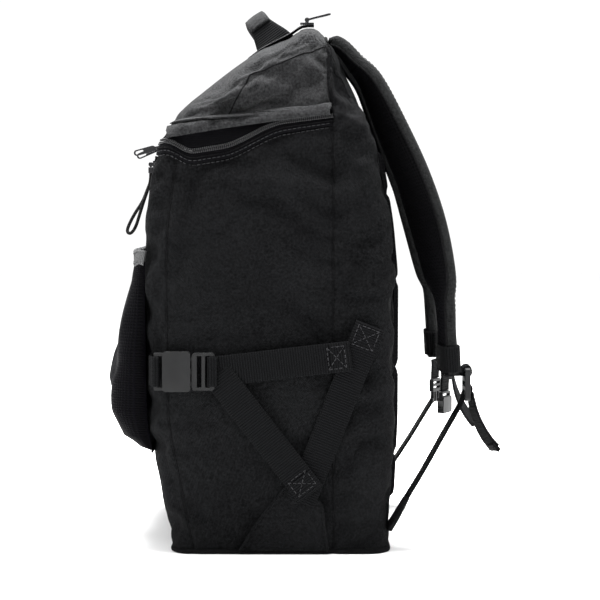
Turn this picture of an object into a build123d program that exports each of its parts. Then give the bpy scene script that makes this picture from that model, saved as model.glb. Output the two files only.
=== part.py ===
"""Boot and skate backpack: a wedge-topped fabric pack that carries a boot on each side.

Row frame, millimetres: +Z up, the flat base on Z = 0, +X towards the wearer's back, Y across the pack.
The wearer's right side is -Y. Every piece is its own solid, and each is written to parts/NODE.step.
"""

from build123d import *
import math
import os

# ---------------------------------------------------------------- driving sizes
WALL = 2.5  # sewn fabric with its foam and lining
CORNER = 18  # rounding of the pack's upright corners
BASE_THICK = 3

# Level sections of the pack, bottom to top: height, front, back, half width, corner radius
SECTIONS = [
    (0, -106, 74, 136, CORNER),
    (110, -127, 79, 143, CORNER),
    (230, -128.5, 79, 144, CORNER),
    (275, -127.5, 75, 141, CORNER),
    (343, -118, 64, 134, CORNER),
    (376, -95, 49, 129, 16),
    (404, -61, 36, 124, 12),
    (424, -32, 28, 119, 10),
    (435, -10, 22, 114, 8),
    (443, 2, 14, 110, 4),
]

# The main zip lies on a tilted plane, from the nose to its end on the side
ZIP_NOSE = (-118, 343)
ZIP_END = (27, 367)
ZIP_SLOPE = math.atan2(ZIP_END[1] - ZIP_NOSE[1], ZIP_END[0] - ZIP_NOSE[0])
ZIP_GAP = 1.0  # half the gap between the two rows of teeth
TAPE_TALL = 7.0
BEAD_TALL = 1.6
BEAD_PROUD = 0.8

LID_HINGE = (22, 435)  # X, Z of the crease behind the top ridge
LID_GAP = 0.5
FAR = 400  # larger than the pack, for cutting tools

FRONT_SEAM = CORNER + 1  # the front panel wraps each corner to here
REAR_SEAM_X = 28
BACK_HALF = 112  # half width of the back panel
LID_TOP_HALF = 108

WEBBING = 25
WEBBING_THICK = 1.8


# ---------------------------------------------------------------- shape helpers
def prism(points, y_low, y_high):
    """A flat outline in X, Z, pulled from y_low to y_high."""
    face = Plane.XZ * make_face(Polyline(*points, close=True))
    return Pos(0, y_high, 0) * extrude(face, amount=y_high - y_low)


def block(x_low, x_high, y_low, y_high, z_low, z_high):
    """A box given by its faces."""
    size = (x_high - x_low, y_high - y_low, z_high - z_low)
    middle = ((x_low + x_high) / 2, (y_low + y_high) / 2, (z_low + z_high) / 2)
    return Pos(*middle) * Box(*size)


def body_form(grow, low=0.0, high=0.0):
    """The pack's outer form, grown sideways by grow, its ends moved in by low and high."""
    faces = []
    last = len(SECTIONS) - 1
    for index, (z, front, back, half, radius) in enumerate(SECTIONS):
        level = z + (low if index == 0 else 0) - (high if index == last else 0)
        wide = back - front + 2 * grow
        outline = RectangleRounded(wide, 2 * (half + grow), max(radius + grow, 1.5))
        faces.append(Pos((front + back) / 2, 0, level) * outline)
    return loft(faces, ruled=True)


def skin(inner, outer):
    """A layer that follows the pack, from inner to outer millimetres off its surface."""
    return body_form(outer) - body_form(inner)


def zip_line(offset, x):
    """Height of the zip plane, moved along its normal by offset, at x."""
    return ZIP_NOSE[1] + (x - ZIP_NOSE[0]) * math.tan(ZIP_SLOPE) + offset / math.cos(ZIP_SLOPE)


def zip_band(low, high, x_low=-FAR, x_high=ZIP_END[0]):
    """The space between two planes parallel to the zip plane."""
    return prism(
        [
            (x_low, zip_line(low, x_low)),
            (x_high, zip_line(low, x_high)),
            (x_high, zip_line(high, x_high)),
            (x_low, zip_line(high, x_low)),
        ],
        -FAR,
        FAR,
    )


def before_crease(gap):
    """Everything in front of the crease between the lid and the back of the pack."""
    end_x, ridge_x = ZIP_END[0] - gap, LID_HINGE[0] - gap
    return prism(
        [
            (-FAR, -10),
            (end_x, -10),
            (end_x, ZIP_END[1]),
            (ridge_x, LID_HINGE[1]),
            (ridge_x, 2 * FAR),
            (-FAR, 2 * FAR),
        ],
        -FAR,
        FAR,
    )


def above_zip(offset, gap):
    """Everything above the zip, moved along its normal by offset, and in front of the lid's crease."""
    above = prism(
        [(-FAR, zip_line(offset, -FAR)), (FAR, zip_line(offset, FAR)), (FAR, 3 * FAR), (-FAR, 3 * FAR)],
        -FAR,
        FAR,
    )
    return above & before_crease(gap)


def strip(start, end, width):
    """Outline in X, Z of a straight strap between two points."""
    dx, dz = end[0] - start[0], end[1] - start[1]
    length = math.hypot(dx, dz)
    nx, nz = -dz / length * width / 2, dx / length * width / 2
    return [
        (start[0] + nx, start[1] + nz),
        (end[0] + nx, end[1] + nz),
        (end[0] - nx, end[1] - nz),
        (start[0] - nx, start[1] - nz),
    ]


def mirrored(shape):
    """The same piece on the other side of the pack."""
    return mirror(shape, about=Plane.XZ)


parts = {}


def keep_pair(name, right_piece):
    """Keeps a piece of the -Y side and its mirror image."""
    parts[name + "_right"] = right_piece
    parts[name + "_left"] = mirrored(right_piece)


def keep_both(name, right_piece):
    """Keeps a piece of the -Y side and its mirror image as one node."""
    parts[name] = Compound([right_piece, mirrored(right_piece)])


# ---------------------------------------------------------------- sewn panels of the pack
def make_panels():
    """Base, front, sides, rear gussets and back of the main compartment."""
    shell = body_form(0) - body_form(-WALL, low=BASE_THICK, high=3.5)
    body = shell - above_zip(-ZIP_GAP - TAPE_TALL, 0)
    base_zone = block(-FAR, FAR, -FAR, FAR, -1, BASE_THICK)
    parts["base_panel"] = body & base_zone
    walls = body - base_zone
    seam = [(front + FRONT_SEAM, z) for z, front, *_ in SECTIONS[:5]]
    front_zone = prism([(-FAR, -1), (seam[0][0], -1), *seam, (-FAR, seam[-1][1])], -FAR, FAR)
    parts["front_panel"] = walls & front_zone
    rear_zone = block(REAR_SEAM_X, FAR, -FAR, FAR, -1, FAR * 2) + above_zip_rear()
    middle_zone = block(-FAR, FAR, -BACK_HALF, BACK_HALF, -1, FAR * 2)
    rear = walls & rear_zone
    parts["back_panel"] = rear & middle_zone
    keep_sides("rear_gusset", rear - middle_zone)
    keep_sides("side_panel", walls - front_zone - rear_zone)
    return shell


def above_zip_rear():
    """The part of the pack above the zip's end and behind the lid's crease."""
    return block(-FAR, FAR, -FAR, FAR, ZIP_END[1], 2 * FAR) - before_crease(0)


def keep_sides(name, shape):
    """Keeps the solids of a shape that lie on each side of the pack."""
    near = [s for s in shape.solids() if s.center().Y < 0]
    far = [s for s in shape.solids() if s.center().Y > 0]
    parts[name + "_right"] = Compound(near) if len(near) > 1 else near[0]
    parts[name + "_left"] = Compound(far) if len(far) > 1 else far[0]


def make_inside():
    """Sleeve divider and frame sheet, both standing on the base inside the pack."""
    parts["sleeve_divider"] = block(48, 50, -110, 110, BASE_THICK, 285)
    parts["frame_sheet"] = block(66.5, 68, -105, 105, BASE_THICK, 296)


def make_back_pads():
    """Two upright foam pads on the back panel."""
    clear, thick = 0.3, 5.0
    levels = [(back, z) for z, _, back, *_ in SECTIONS[1:5]]
    first, last = (levels[0][0] - 3.2, 40), (levels[-1][0] + 0.8, levels[-1][1] - 5)
    line = [first, *levels[:-1], last]
    inner = [(x + clear, z) for x, z in line]
    outer = [(x + thick, z) for x, z in reversed(line)]
    outer[0] = (outer[0][0], outer[0][1] - 4)
    outer[-1] = (outer[-1][0], outer[-1][1] + 4)
    keep_both("back_pads", prism(inner + outer, -100, -16))


# ---------------------------------------------------------------- lid and main zip
def make_lid(shell):
    """The wedge-shaped lid: top and two sides, with its storm flap and grab handle."""
    lid = shell & above_zip(ZIP_GAP + TAPE_TALL, LID_GAP)
    top_zone = block(-FAR, FAR, -LID_TOP_HALF, LID_TOP_HALF, -1, FAR * 2)
    parts["lid_top_panel"] = lid & top_zone
    keep_sides("lid_side", lid - top_zone)
    flap_low, flap_high = -4.5, ZIP_GAP + TAPE_TALL + 4
    hang = skin(1.9, 3.2) & zip_band(flap_low, flap_high, ZIP_NOSE[0] + FRONT_SEAM, ZIP_END[0] - 2)
    root_zone = zip_band(ZIP_GAP + TAPE_TALL + 0.2, flap_high, ZIP_NOSE[0] + FRONT_SEAM, ZIP_END[0] - 2)
    root = skin(0, 3.2) & root_zone
    parts["storm_flaps"] = hang + root


def make_zip_tracks(shell):
    """Both tapes of the main zip, each with its row of teeth as a bead."""
    beads = skin(0, BEAD_PROUD)
    lower = shell & (zip_band(-ZIP_GAP - TAPE_TALL, -ZIP_GAP))
    lower_bead = beads & zip_band(-ZIP_GAP - BEAD_TALL, -ZIP_GAP)
    parts["zip_track_lower"] = lower + lower_bead
    upper_zone = zip_band(ZIP_GAP, ZIP_GAP + TAPE_TALL) & above_zip(0, LID_GAP)
    upper = shell & upper_zone
    upper_bead = beads & zip_band(ZIP_GAP, ZIP_GAP + BEAD_TALL) & above_zip(0, LID_GAP)
    parts["zip_track_upper"] = upper + upper_bead


# ---------------------------------------------------------------- zip sliders and pulls
PLATE = (12, 8.5, 1.3)  # slider plate: along the zip, across it, thick
LUG_SPREAD = 2.6
PIN_UP = 2.6  # pull pin above the plate
PIN_RADIUS = 0.7
EYE_BORE = 0.85
EYE_RADIUS = 2.0
EYE_HALF = 1.5


def slider(plate_up, rear_up=None):
    """Zip slider, local frame: +X along the zip, +Z out of the fabric, pull pin along Y."""
    long, wide, thick = PLATE
    top = Pos(0, 0, plate_up + thick / 2) * extrude(RectangleRounded(long, wide, 2.6), thick / 2, both=True)
    pin_z = plate_up + thick + PIN_UP
    body = top
    for side in (-1, 1):
        lug = Pos(0, side * LUG_SPREAD, plate_up + thick + PIN_UP / 2 + 0.4) * Box(3.0, 1.2, PIN_UP + 1.8)
        body += lug
    body += Pos(0, 0, pin_z) * Rot(90, 0, 0) * Cylinder(PIN_RADIUS, 2 * LUG_SPREAD)
    if rear_up is not None:
        web_tall = plate_up - rear_up + thick
        body += Pos(0, 0, rear_up + web_tall / 2) * Box(6, 1.0, web_tall)
        body += Pos(0, 1.9, rear_up - 0.5) * Box(long - 2, 4.8, 1.0)
    return body, pin_z


def pull(length, width, thick, pin_z, bend=0.0):
    """Zip pull, local frame as the slider's: it points along +Z from the pin, its flat in Y, Z."""
    eye = Pos(0, 0, pin_z) * Rot(90, 0, 0) * Cylinder(EYE_RADIUS, 2 * EYE_HALF)
    neck = Pos(0, 0, pin_z + 3.2) * Box(thick, 2.4, 3.6)
    tab_low, tab_high = 0.0, length - 5
    middle = (tab_low + tab_high) / 2
    outline = SlotOverall(tab_high - tab_low, width)
    tab = Pos(-thick / 2, 0, middle) * Rot(0, -90, 0) * extrude(outline, -thick)
    window = Pos(0, 0, tab_high - 5.2) * Rot(0, 90, 0) * extrude(SlotOverall(7.4, width - 2.6), 3, both=True)
    bore = Pos(0, 0, pin_z) * Rot(90, 0, 0) * Cylinder(EYE_BORE, 8)
    blade = Pos(0, 0, pin_z + 4.6) * Rot(-bend, 0, 0) * Pos(0, 0, -0.6) * (tab - window)
    return eye + neck + blade - bore


def main_zip_plane(y):
    """Frame of a slider on the nose: along Y, facing out of the front, square to the zip plane."""
    out = (-math.cos(ZIP_SLOPE), 0, -math.sin(ZIP_SLOPE))
    return Plane(origin=(ZIP_NOSE[0], y, ZIP_NOSE[1]), x_dir=(0, 1, 0), z_dir=out)


MAIN_SLIDER_Y = 11
MAIN_PLATE_UP = 2.8
MAIN_REAR_UP = -4.6
LID_ZIP_Y = -66
LID_PLATE_UP = 2.0
FRONT_ZIP_Z = 325
FRONT_SLIDER_Y = -92


def make_main_sliders():
    """Two sliders that meet on the nose, each with a flat pull that swings about an upright pin."""
    body, pin_z = slider(MAIN_PLATE_UP, MAIN_REAR_UP)
    for side, y, bend in (("right", -MAIN_SLIDER_Y, 6), ("left", MAIN_SLIDER_Y, 14)):
        place = main_zip_plane(y)
        parts["main_slider_" + side] = place * body
        parts["main_pull_" + side] = place * pull(25, 5.4, 1.6, pin_z, bend)


def make_lid_zip():
    """Stash pocket zip that runs down the lid's slope, with its slider near the ridge."""
    lower = [(-45, 415.4), (-32, 424.4), (-10, 435.4), (2, 443.3), (12, 443.3)]
    upper = [(x - 0.5, z + 1.2) for x, z in reversed(lower)]
    parts["lid_zip_tape"] = prism(lower + upper, LID_ZIP_Y - 8, LID_ZIP_Y + 8)
    body, pin_z = slider(LID_PLATE_UP)
    place = Plane(origin=(6, LID_ZIP_Y, 443.3), x_dir=(-1, 0, 0), z_dir=(0, 0, 1))
    parts["lid_slider"] = place * body
    pin = place.from_local_coords(Vector(0, 0, pin_z))
    lean = math.radians(14)
    flat = Plane(origin=pin, x_dir=(0, 0, -1), z_dir=(math.cos(lean), 0, math.sin(lean)))
    parts["lid_pull"] = flat * pull(22, 5.0, 1.6, 0)


def front_face_x(z):
    """X of the pack's front at a height above its widest belt."""
    for (z0, f0, *_), (z1, f1, *_) in zip(SECTIONS, SECTIONS[1:]):
        if z0 <= z <= z1:
            return f0 + (f1 - f0) * (z - z0) / (z1 - z0)
    raise ValueError(z)


# The cord loop on the front zip's slider: points in X, Z of its route, and its half spread in Y
CORD_RADIUS = 1.4
CORD_SPREAD = 2.6
CORD_POINTS = [
    (-126.4, CORD_SPREAD, 317.5),
    (-126.4, CORD_SPREAD, 311.5),
    (-129.8, CORD_SPREAD, 303.5),
    (-133.6, CORD_SPREAD, 293.5),
    (-140.5, CORD_SPREAD, 283.5),
    (-146.0, CORD_SPREAD, 273.0),
    (-147.2, CORD_SPREAD - 1.6, 267.5),
    (-143.6, 0.4 - CORD_SPREAD, 266.0),
    (-139.4, -CORD_SPREAD, 271.5),
    (-136.0, -CORD_SPREAD, 282.5),
    (-132.4, -CORD_SPREAD, 294.0),
    (-128.6, -CORD_SPREAD, 304.5),
    (-126.4, -CORD_SPREAD, 311.5),
    (-126.4, -CORD_SPREAD, 317.5),
]


def cord_route():
    """Straight runs joined by tangent arcs, each as large as its two runs allow."""
    points = [Vector(x, FRONT_SLIDER_Y + y, z) for x, y, z in CORD_POINTS]
    radii = []
    for before, at, after in zip(points, points[1:], points[2:]):
        turn = math.radians((at - before).get_angle(after - at))
        shorter = min((at - before).length, (after - at).length)
        radii.append(0.45 * shorter / math.tan(turn / 2))
    print("cord radii", [round(r, 1) for r in radii])
    path = FilletPolyline(*points, radius=radii)
    print("cord length", round(path.length, 1))
    return path, points


def make_front_zip():
    """Front pocket zip: tape, slider, and a pull made of a crimp and a cord loop."""
    low, high = FRONT_ZIP_Z - 7, FRONT_ZIP_Z + 7
    face = [(front_face_x(low), low), (front_face_x(high), high)]
    inner = [(x - 0.3, z) for x, z in face]
    outer = [(x - 1.6, z) for x, z in reversed(face)]
    parts["front_zip_tape"] = prism(inner + outer, -104, 104)
    place = Plane(
        origin=(front_face_x(FRONT_ZIP_Z), FRONT_SLIDER_Y, FRONT_ZIP_Z),
        x_dir=(0, 1, 0),
        z_dir=(-1, 0, 0),
    )
    long, wide, thick = PLATE
    plate = Pos(0, 0, 2.5 + thick / 2) * extrude(RectangleRounded(long, wide, 2.6), thick / 2, both=True)
    for side in (-1, 1):
        plate += Pos(side * LUG_SPREAD, 0, 5.3) * Box(1.2, 3.0, 4.2)
    pin_z = 5.9
    plate += Pos(0, 0, pin_z) * Rot(0, 90, 0) * Cylinder(PIN_RADIUS, 2 * LUG_SPREAD)
    parts["front_slider"] = place * plate
    pin = place.from_local_coords(Vector(0, 0, pin_z))
    eye = Pos(*pin) * Rot(90, 0, 0) * Cylinder(EYE_RADIUS, 2 * EYE_HALF)
    bore = Pos(*pin) * Rot(90, 0, 0) * Cylinder(EYE_BORE, 12)
    crimp_low, crimp_high = CORD_POINTS[0][2], pin.Z - 2.4
    crimp = block(pin.X - 1.9, pin.X + 1.9, FRONT_SLIDER_Y - 4.4, FRONT_SLIDER_Y + 4.4, crimp_low, crimp_high)
    neck_span = (FRONT_SLIDER_Y - EYE_HALF, FRONT_SLIDER_Y + EYE_HALF)
    neck = block(pin.X - 0.9, pin.X + 0.9, *neck_span, crimp_high - 1, pin.Z)
    parts["front_pull_crimp"] = eye + neck + crimp - bore
    path, points = cord_route()
    start = Plane(origin=points[0], z_dir=points[1] - points[0])
    parts["front_pull_cord"] = sweep(start * Circle(CORD_RADIUS), path=path)
    length = path.length
    share = parts["front_pull_cord"].volume / (math.pi * CORD_RADIUS**2 * length)
    print("cord volume over section times length", round(share, 4))


# ---------------------------------------------------------------- grab handle
HANDLE_FOOT = (-21, 430)
HANDLE_TILT = math.radians(36)  # how far the arch leans forward
SLOPE = math.atan2(11, 22)  # of the lid where the handle stands
HANDLE_HALF = 50
HANDLE_RISE = 29
HANDLE_WIDE = 16
HANDLE_UP = 3.0


def slope_plane(angle, up):
    """Frame at the handle's foot: local X towards +Y, local Y out of the slope, moved out by up."""
    out = Vector(-math.sin(angle), 0, math.cos(angle))
    along = (math.cos(angle), 0, math.sin(angle))
    return Plane(origin=Vector(HANDLE_FOOT[0], 0, HANDLE_FOOT[1]) + out * up, x_dir=(0, 1, 0), z_dir=along)


def arch_line(inset, radius):
    """One edge of the arch, inset from its outer line."""
    half, rise, lean = HANDLE_HALF - inset, HANDLE_RISE - inset, 10 - inset / 3
    return FilletPolyline((-half, 0), (-half + lean, rise), (half - lean, rise), (half, 0), radius=radius)


def make_handle():
    """Webbing grab handle: an arch of webbing, a sleeve round its middle and two sewn feet."""
    place = slope_plane(HANDLE_TILT, HANDLE_UP)
    outer, inner = arch_line(0, 14), arch_line(3, 11)
    ends = [Line(inner @ 0, outer @ 0), Line(outer @ 1, inner @ 1)]
    arch = extrude(make_face([*outer.edges(), *ends, *inner.edges()]), HANDLE_WIDE / 2, both=True)
    parts["handle_webbing"] = place * arch
    grip = Box(58, 5.4, HANDLE_WIDE + 2.5) - Box(70, 3.4, HANDLE_WIDE + 0.4)
    parts["handle_grip"] = place * Pos(0, HANDLE_RISE - 1.5, 0) * grip
    foot = slope_plane(SLOPE, 0.9)
    feet = [foot * Pos(side * (HANDLE_HALF - 3), 0, -3) * Box(14, 1.2, 20) for side in (-1, 1)]
    parts["handle_feet"] = Compound(feet)


# ---------------------------------------------------------------- front mesh pocket
POCKET_HALF = 132
POCKET_WALL = 1.5
POCKET_LINE = [(-139.5, 240), (-168, 140), (-152, 92), (-118, 84)]


def make_pocket():
    """Gathered mesh pocket with an elastic binding round its mouth."""
    hold = body_form(0)
    outer = [*POCKET_LINE, (-100, 84), (-100, 240)]
    bag = prism(outer, -POCKET_HALF, POCKET_HALF)
    inner_line = [(-137.9, 241), (-166.3, 140), (-151.0, 93.6), (-118, 85.6)]
    inner = [*inner_line, (-90, 85.6), (-90, 241)]
    space = prism(inner, -POCKET_HALF + POCKET_WALL, POCKET_HALF - POCKET_WALL)
    parts["mesh_pocket"] = bag - space - hold
    band = block(-141.2, -108, -POCKET_HALF - 1.2, POCKET_HALF + 1.2, 240.2, 252.5)
    mouth = block(-137.9, -60, -POCKET_HALF + 0.4, POCKET_HALF - 0.4, 239, 254)
    parts["pocket_binding"] = band - mouth - hold


# ---------------------------------------------------------------- side carry harness
BUCKLE_Z = 154
BUCKLE_AT = (-90, BUCKLE_Z)
STRAP_APEX = (-76, BUCKLE_Z)
LOOP_HIGH = (42, 167)
LOOP_LOW = (9, 52)
BUCKLE_OFF = 150.0  # middle of the buckle from the pack's middle plane


def make_cradle():
    """Fabric heel cradle, sewn along the pack's bottom edge."""
    right = block(-FAR, FAR, -FAR, -100, -FAR, FAR * 2)
    outline = [(-50, 5), (-9, 58), (17, 43), (23, 5)]
    sling = skin(1.0, 2.6) & prism(outline, -FAR, 0) & right
    hem = skin(0, 2.6) & prism([(-50, 1.5), (-50, 5), (23, 5), (23, 1.5)], -FAR, 0) & right
    keep_both("heel_cradles", sling + hem)


def make_ankle_strap():
    """Webbing from the cradle's corner up to the rear gusset."""
    right = block(-FAR, FAR, -FAR, -100, -FAR, FAR * 2)
    run = strip((0, 44), (58, 192), WEBBING)
    keep_both("ankle_straps", skin(3.0, 3.0 + WEBBING_THICK) & prism(run, -FAR, 0) & right)


def make_v_strap():
    """Two legs of webbing from a loop round the buckle's end bar to both ends of the ankle strap."""
    bar_low, bar_high = BUCKLE_AT[0] + 15.9, BUCKLE_AT[0] + 19.9
    beyond = block(bar_high + 2.0, FAR, -FAR, -100, -FAR, FAR * 2)
    half = WEBBING / 2
    span = (BUCKLE_Z - half, BUCKLE_Z + half)
    loop = block(bar_low - 2.0, bar_high + 2.0, -BUCKLE_OFF - 5.3, -BUCKLE_OFF + 5.3, *span)
    loop -= block(bar_low - 0.2, bar_high + 0.2, -BUCKLE_OFF - 3.5, -BUCKLE_OFF + 3.5, 0, FAR)
    legs = {}
    for name, end, level in (("upper", LOOP_HIGH, 5.4), ("lower", LOOP_LOW, 7.5)):
        run = prism(strip(STRAP_APEX, end, WEBBING), -FAR, 0) & beyond
        share = 0.8 if name == "upper" else 0.86
        patch_start = tuple(STRAP_APEX[i] + share * (end[i] - STRAP_APEX[i]) for i in range(2))
        patch = prism(strip(patch_start, end, WEBBING), -FAR, 0) & beyond
        legs[name] = (skin(level, level + WEBBING_THICK) & run) + (skin(3.0 + WEBBING_THICK, level) & patch)
    keep_pair("v_strap_upper", legs["upper"] + loop)
    keep_pair("v_strap_lower", legs["lower"] - legs["upper"])


def side_buckle():
    """Side-release buckle, local frame: +X out of the socket, Y across, Z thick. Socket, plug, arms."""
    socket = Box(23, 33, 9.6)
    socket = Pos(-11.5, 0, 0) * fillet(socket.edges().filter_by(Axis.Z), 3)
    socket += Pos(-25.5, 0, 0) * Box(9, 31, 5.6)
    socket -= Pos(-10, 0, 0) * Box(20.2, 25, 6.4)
    socket -= Pos(-12, 0, 0) * Box(11, 40, 6.4)
    socket -= Pos(-25.2, 0, 0) * Box(3.8, 26, 20)
    plug = Pos(10.4, 0, 0) * Box(19, 31, 6.4)
    plug = fillet(plug.edges().filter_by(Axis.Z), 3)
    plug += Pos(-6.5, 0, 0) * Box(15.8, 4, 4.6)
    for x in (7.2, 14.0):
        plug -= Pos(x, 0, 0) * Box(3.8, 26, 20)
    arms = None
    for side in (-1, 1):
        arm = Pos(-7.1, side * 10, 0) * Box(16.0, 2.6, 5.0)
        hook = Pos(-12.2, side * 12.8, 0) * Box(6.4, 4.2, 5.0)
        arms = arm + hook if arms is None else arms + arm + hook
    return socket, plug, arms


def make_harness_buckle():
    """The harness buckle at the front edge of the side panel, with the tab that holds it."""
    socket, plug, arms = side_buckle()
    place = Plane(origin=(BUCKLE_AT[0], -BUCKLE_OFF, BUCKLE_AT[1]), x_dir=(1, 0, 0), z_dir=(0, -1, 0))
    keep_pair("buckle_socket", place * socket)
    keep_pair("buckle_plug", place * plug)
    keep_pair("buckle_arms", place * arms)
    bar_low, bar_high = BUCKLE_AT[0] - 30, BUCKLE_AT[0] - 27.1
    half = WEBBING / 2
    span = (BUCKLE_Z - half, BUCKLE_Z + half)
    tab = block(bar_low - 1.7, bar_high + 1.7, -BUCKLE_OFF - 4.5, -BUCKLE_OFF + 4.5, *span)
    tab -= block(bar_low - 0.3, bar_high + 0.3, -BUCKLE_OFF - 3.1, -BUCKLE_OFF + 3.1, 0, FAR)
    tab += block(bar_low - 1.7, bar_low + 1.1, -BUCKLE_OFF + 4.5, -130, BUCKLE_Z - half, BUCKLE_Z + half)
    keep_both("buckle_tabs", tab - body_form(0))


# ---------------------------------------------------------------- shoulder straps
STRAP_THICK = 12
# Middle of the right strap from top to bottom: X, distance from the middle plane, Z, width, twist
STRAP_LINE = [
    (35, 58, 427.0, 56, 0),
    (47, 60, 413.5, 60, 3),
    (62, 64, 395, 64, 8),
    (80, 70, 356, 66, 13),
    (97, 77, 314, 66, 17),
    (110, 84, 272, 64, 19),
    (119.5, 90, 230, 60, 15),
    (123.5, 93.2, 204, 52, 4),
    (126.8, 95, 148.4, 52, 4),
]
LOCK_AT = (141.5, 96, 139.2)  # middle of the right ladder lock: X, distance from the middle, Z
LOCK_SIZE = (33, 28, 4.6)
LOCK_SLOTS = (-7.6, 0, 7.6)
LOCK_SLOT = 4.2


def strap_plane(index):
    """Section plane of the right strap at one of its stations, twisted about its run."""
    here = STRAP_LINE[index]
    before = STRAP_LINE[max(index - 1, 0)]
    after = STRAP_LINE[min(index + 1, len(STRAP_LINE) - 1)]
    run = Vector(after[0] - before[0], 0, after[2] - before[2])
    out = Vector(-run.Z, 0, run.X).normalized()
    angle = math.radians(here[4])
    across = Vector(0, math.cos(angle), 0) - out * math.sin(angle)
    return Plane(origin=(here[0], -here[1], here[2]), x_dir=across, z_dir=run)


def make_shoulder_straps():
    """Padded shoulder straps, their lower webbing, ladder locks, tails and wings."""
    faces = []
    for index, (_, _, _, width, _) in enumerate(STRAP_LINE):
        faces.append(strap_plane(index) * RectangleRounded(width, STRAP_THICK, 5))
    keep_pair("shoulder_strap", loft(faces, ruled=True))
    lock_at = Plane(origin=(LOCK_AT[0], -LOCK_AT[1], LOCK_AT[2]), x_dir=(0, 1, 0), z_dir=(1, 0, 0))
    frame = Box(*LOCK_SIZE)
    frame = fillet(frame.edges().filter_by(Axis.Z), 3)
    for up in LOCK_SLOTS:
        frame -= Pos(0, up, 0) * Box(26, LOCK_SLOT, 20)
    keep_pair("ladder_lock", lock_at * frame)
    for side, shape in (("right", strap_ends()), ("left", [mirrored(piece) for piece in strap_ends()])):
        parts["strap_tail_" + side] = Compound(shape)
    start, end = Vector(90, -112, 44), Vector(136.6, -96.5, 122)
    run = (end - start).normalized()
    keep_pair("strap_web", ribbon([(start, run, WEBBING), (end, run, WEBBING)], WEBBING_THICK))
    wing = ribbon([(start - run * 34, run, 42), (start, run, WEBBING + 3)], 2.4)
    keep_both("strap_wings", wing - body_form(0))


def ribbon(stations, thick):
    """A flat strap through stations of middle point, run direction and width, its width near Y."""
    faces = []
    for point, run, width in stations:
        along = Vector(*run).normalized()
        across = Vector(0, 1, 0) - along * along.Y
        faces.append(Plane(origin=point, x_dir=across, z_dir=along) * Rectangle(width, thick))
    return loft(faces, ruled=True)


def strap_ends():
    """The loop that holds the right ladder lock, and the free end of the lower webbing."""
    x, y, z = LOCK_AT
    low = z + LOCK_SLOTS[2] - 0.7
    front, back, top = x + LOCK_SIZE[2] / 2, x - LOCK_SIZE[2] / 2, z + LOCK_SIZE[1] / 2
    loop = block(back - 1.6, front + 1.6, -y - 11, -y + 11, low, top + 1.7)
    loop -= block(back - 0.2, front + 0.2, -FAR, FAR, low + 1.4, top + 0.3)
    loop += block(121, back - 1.5, -y - 11, -y + 11, low, low + 1.4)
    tail = ribbon(
        [
            ((front + 1.2, -y, z + 1.5), (0, 0, -1), WEBBING),
            ((front + 1.2, -y, z - 15), (0.12, 0, -1), WEBBING),
            ((151.0, -y - 1, 107), (0.45, 0, -1), WEBBING),
            ((160.0, -y - 2, 91), (0.6, 0, -1), WEBBING),
            ((167.2, -y - 3, 82), (0.8, 0, -1), WEBBING),
        ],
        WEBBING_THICK,
    )
    return [loop, tail]


# ---------------------------------------------------------------- sternum strap
KEEPER_TALL = 22
KEEPER_Z = 161.5
STERNUM_AT = (126, 59)  # where each half hangs: X and distance from the middle plane
STERNUM_TURN = 65  # its webbing is turned this far from facing sideways
STERNUM_SCALE = 0.62


def make_sternum():
    """A keeper round each padded strap, with half of the sternum strap hanging from it."""
    place = strap_plane(len(STRAP_LINE) - 1)
    level = Plane(origin=(126.0, -94.5, KEEPER_Z), x_dir=place.x_dir, z_dir=place.z_dir)
    width = STRAP_LINE[-2][3]
    hole = extrude(RectangleRounded(width + 1.6, STRAP_THICK + 1.8, 5.6), KEEPER_TALL, both=True)
    ring = extrude(RectangleRounded(width + 4.4, STRAP_THICK + 4.4, 6.8), KEEPER_TALL / 2, both=True)
    inner_side = Pos(width / 2 + 5.2, 0, 0)
    bail = inner_side * Box(7.4, 3.0, KEEPER_TALL) - inner_side * Box(3.6, 10, KEEPER_TALL - 4)
    keep_pair("sternum_keeper", level * (ring + bail - hole))
    turn = math.radians(STERNUM_TURN)
    across = (math.cos(turn), math.sin(turn), 0)
    for side, sign in (("right", -1), ("left", 1)):
        foot_at = (STERNUM_AT[0], sign * STERNUM_AT[1], 0)
        down = Plane(origin=foot_at, x_dir=(0, 0, -1), z_dir=(across[1], -across[0], 0))
        web = Pos(-138.8, 0, 0) * Box(20.4, 18, 1.6)
        parts["sternum_web_" + side] = down * web
        if side == "right":
            socket, _, _ = side_buckle()
            parts["sternum_socket"] = down * Pos(-110, 0, 0) * scale(socket, STERNUM_SCALE)
        else:
            _, plug, arms = side_buckle()
            foot = 128.6 - 19.9 * STERNUM_SCALE
            turned = Rot(0, 180, 0) * scale(plug + arms, STERNUM_SCALE)
            parts["sternum_plug"] = down * Pos(-foot, 0, 0) * turned


# ---------------------------------------------------------------- build and write
def main():
    shell = make_panels()
    make_inside()
    make_back_pads()
    make_lid(shell)
    make_zip_tracks(shell)
    make_main_sliders()
    make_lid_zip()
    make_front_zip()
    make_handle()
    make_pocket()
    make_cradle()
    make_ankle_strap()
    make_v_strap()
    make_harness_buckle()
    make_shoulder_straps()
    make_sternum()
    os.makedirs("parts", exist_ok=True)
    for name, shape in parts.items():
        solids = shape.solids()
        export_step(Compound(solids) if len(solids) > 1 else solids[0], f"parts/{name}.step")
    whole = Compound(list(parts.values())).bounding_box()
    print(len(parts), "nodes, box", whole.min, whole.max)


main()
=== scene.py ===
"""Looks of the boot backpack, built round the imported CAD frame. Sizes are in metres, +X towards the wearer."""

import math
import random

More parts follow.
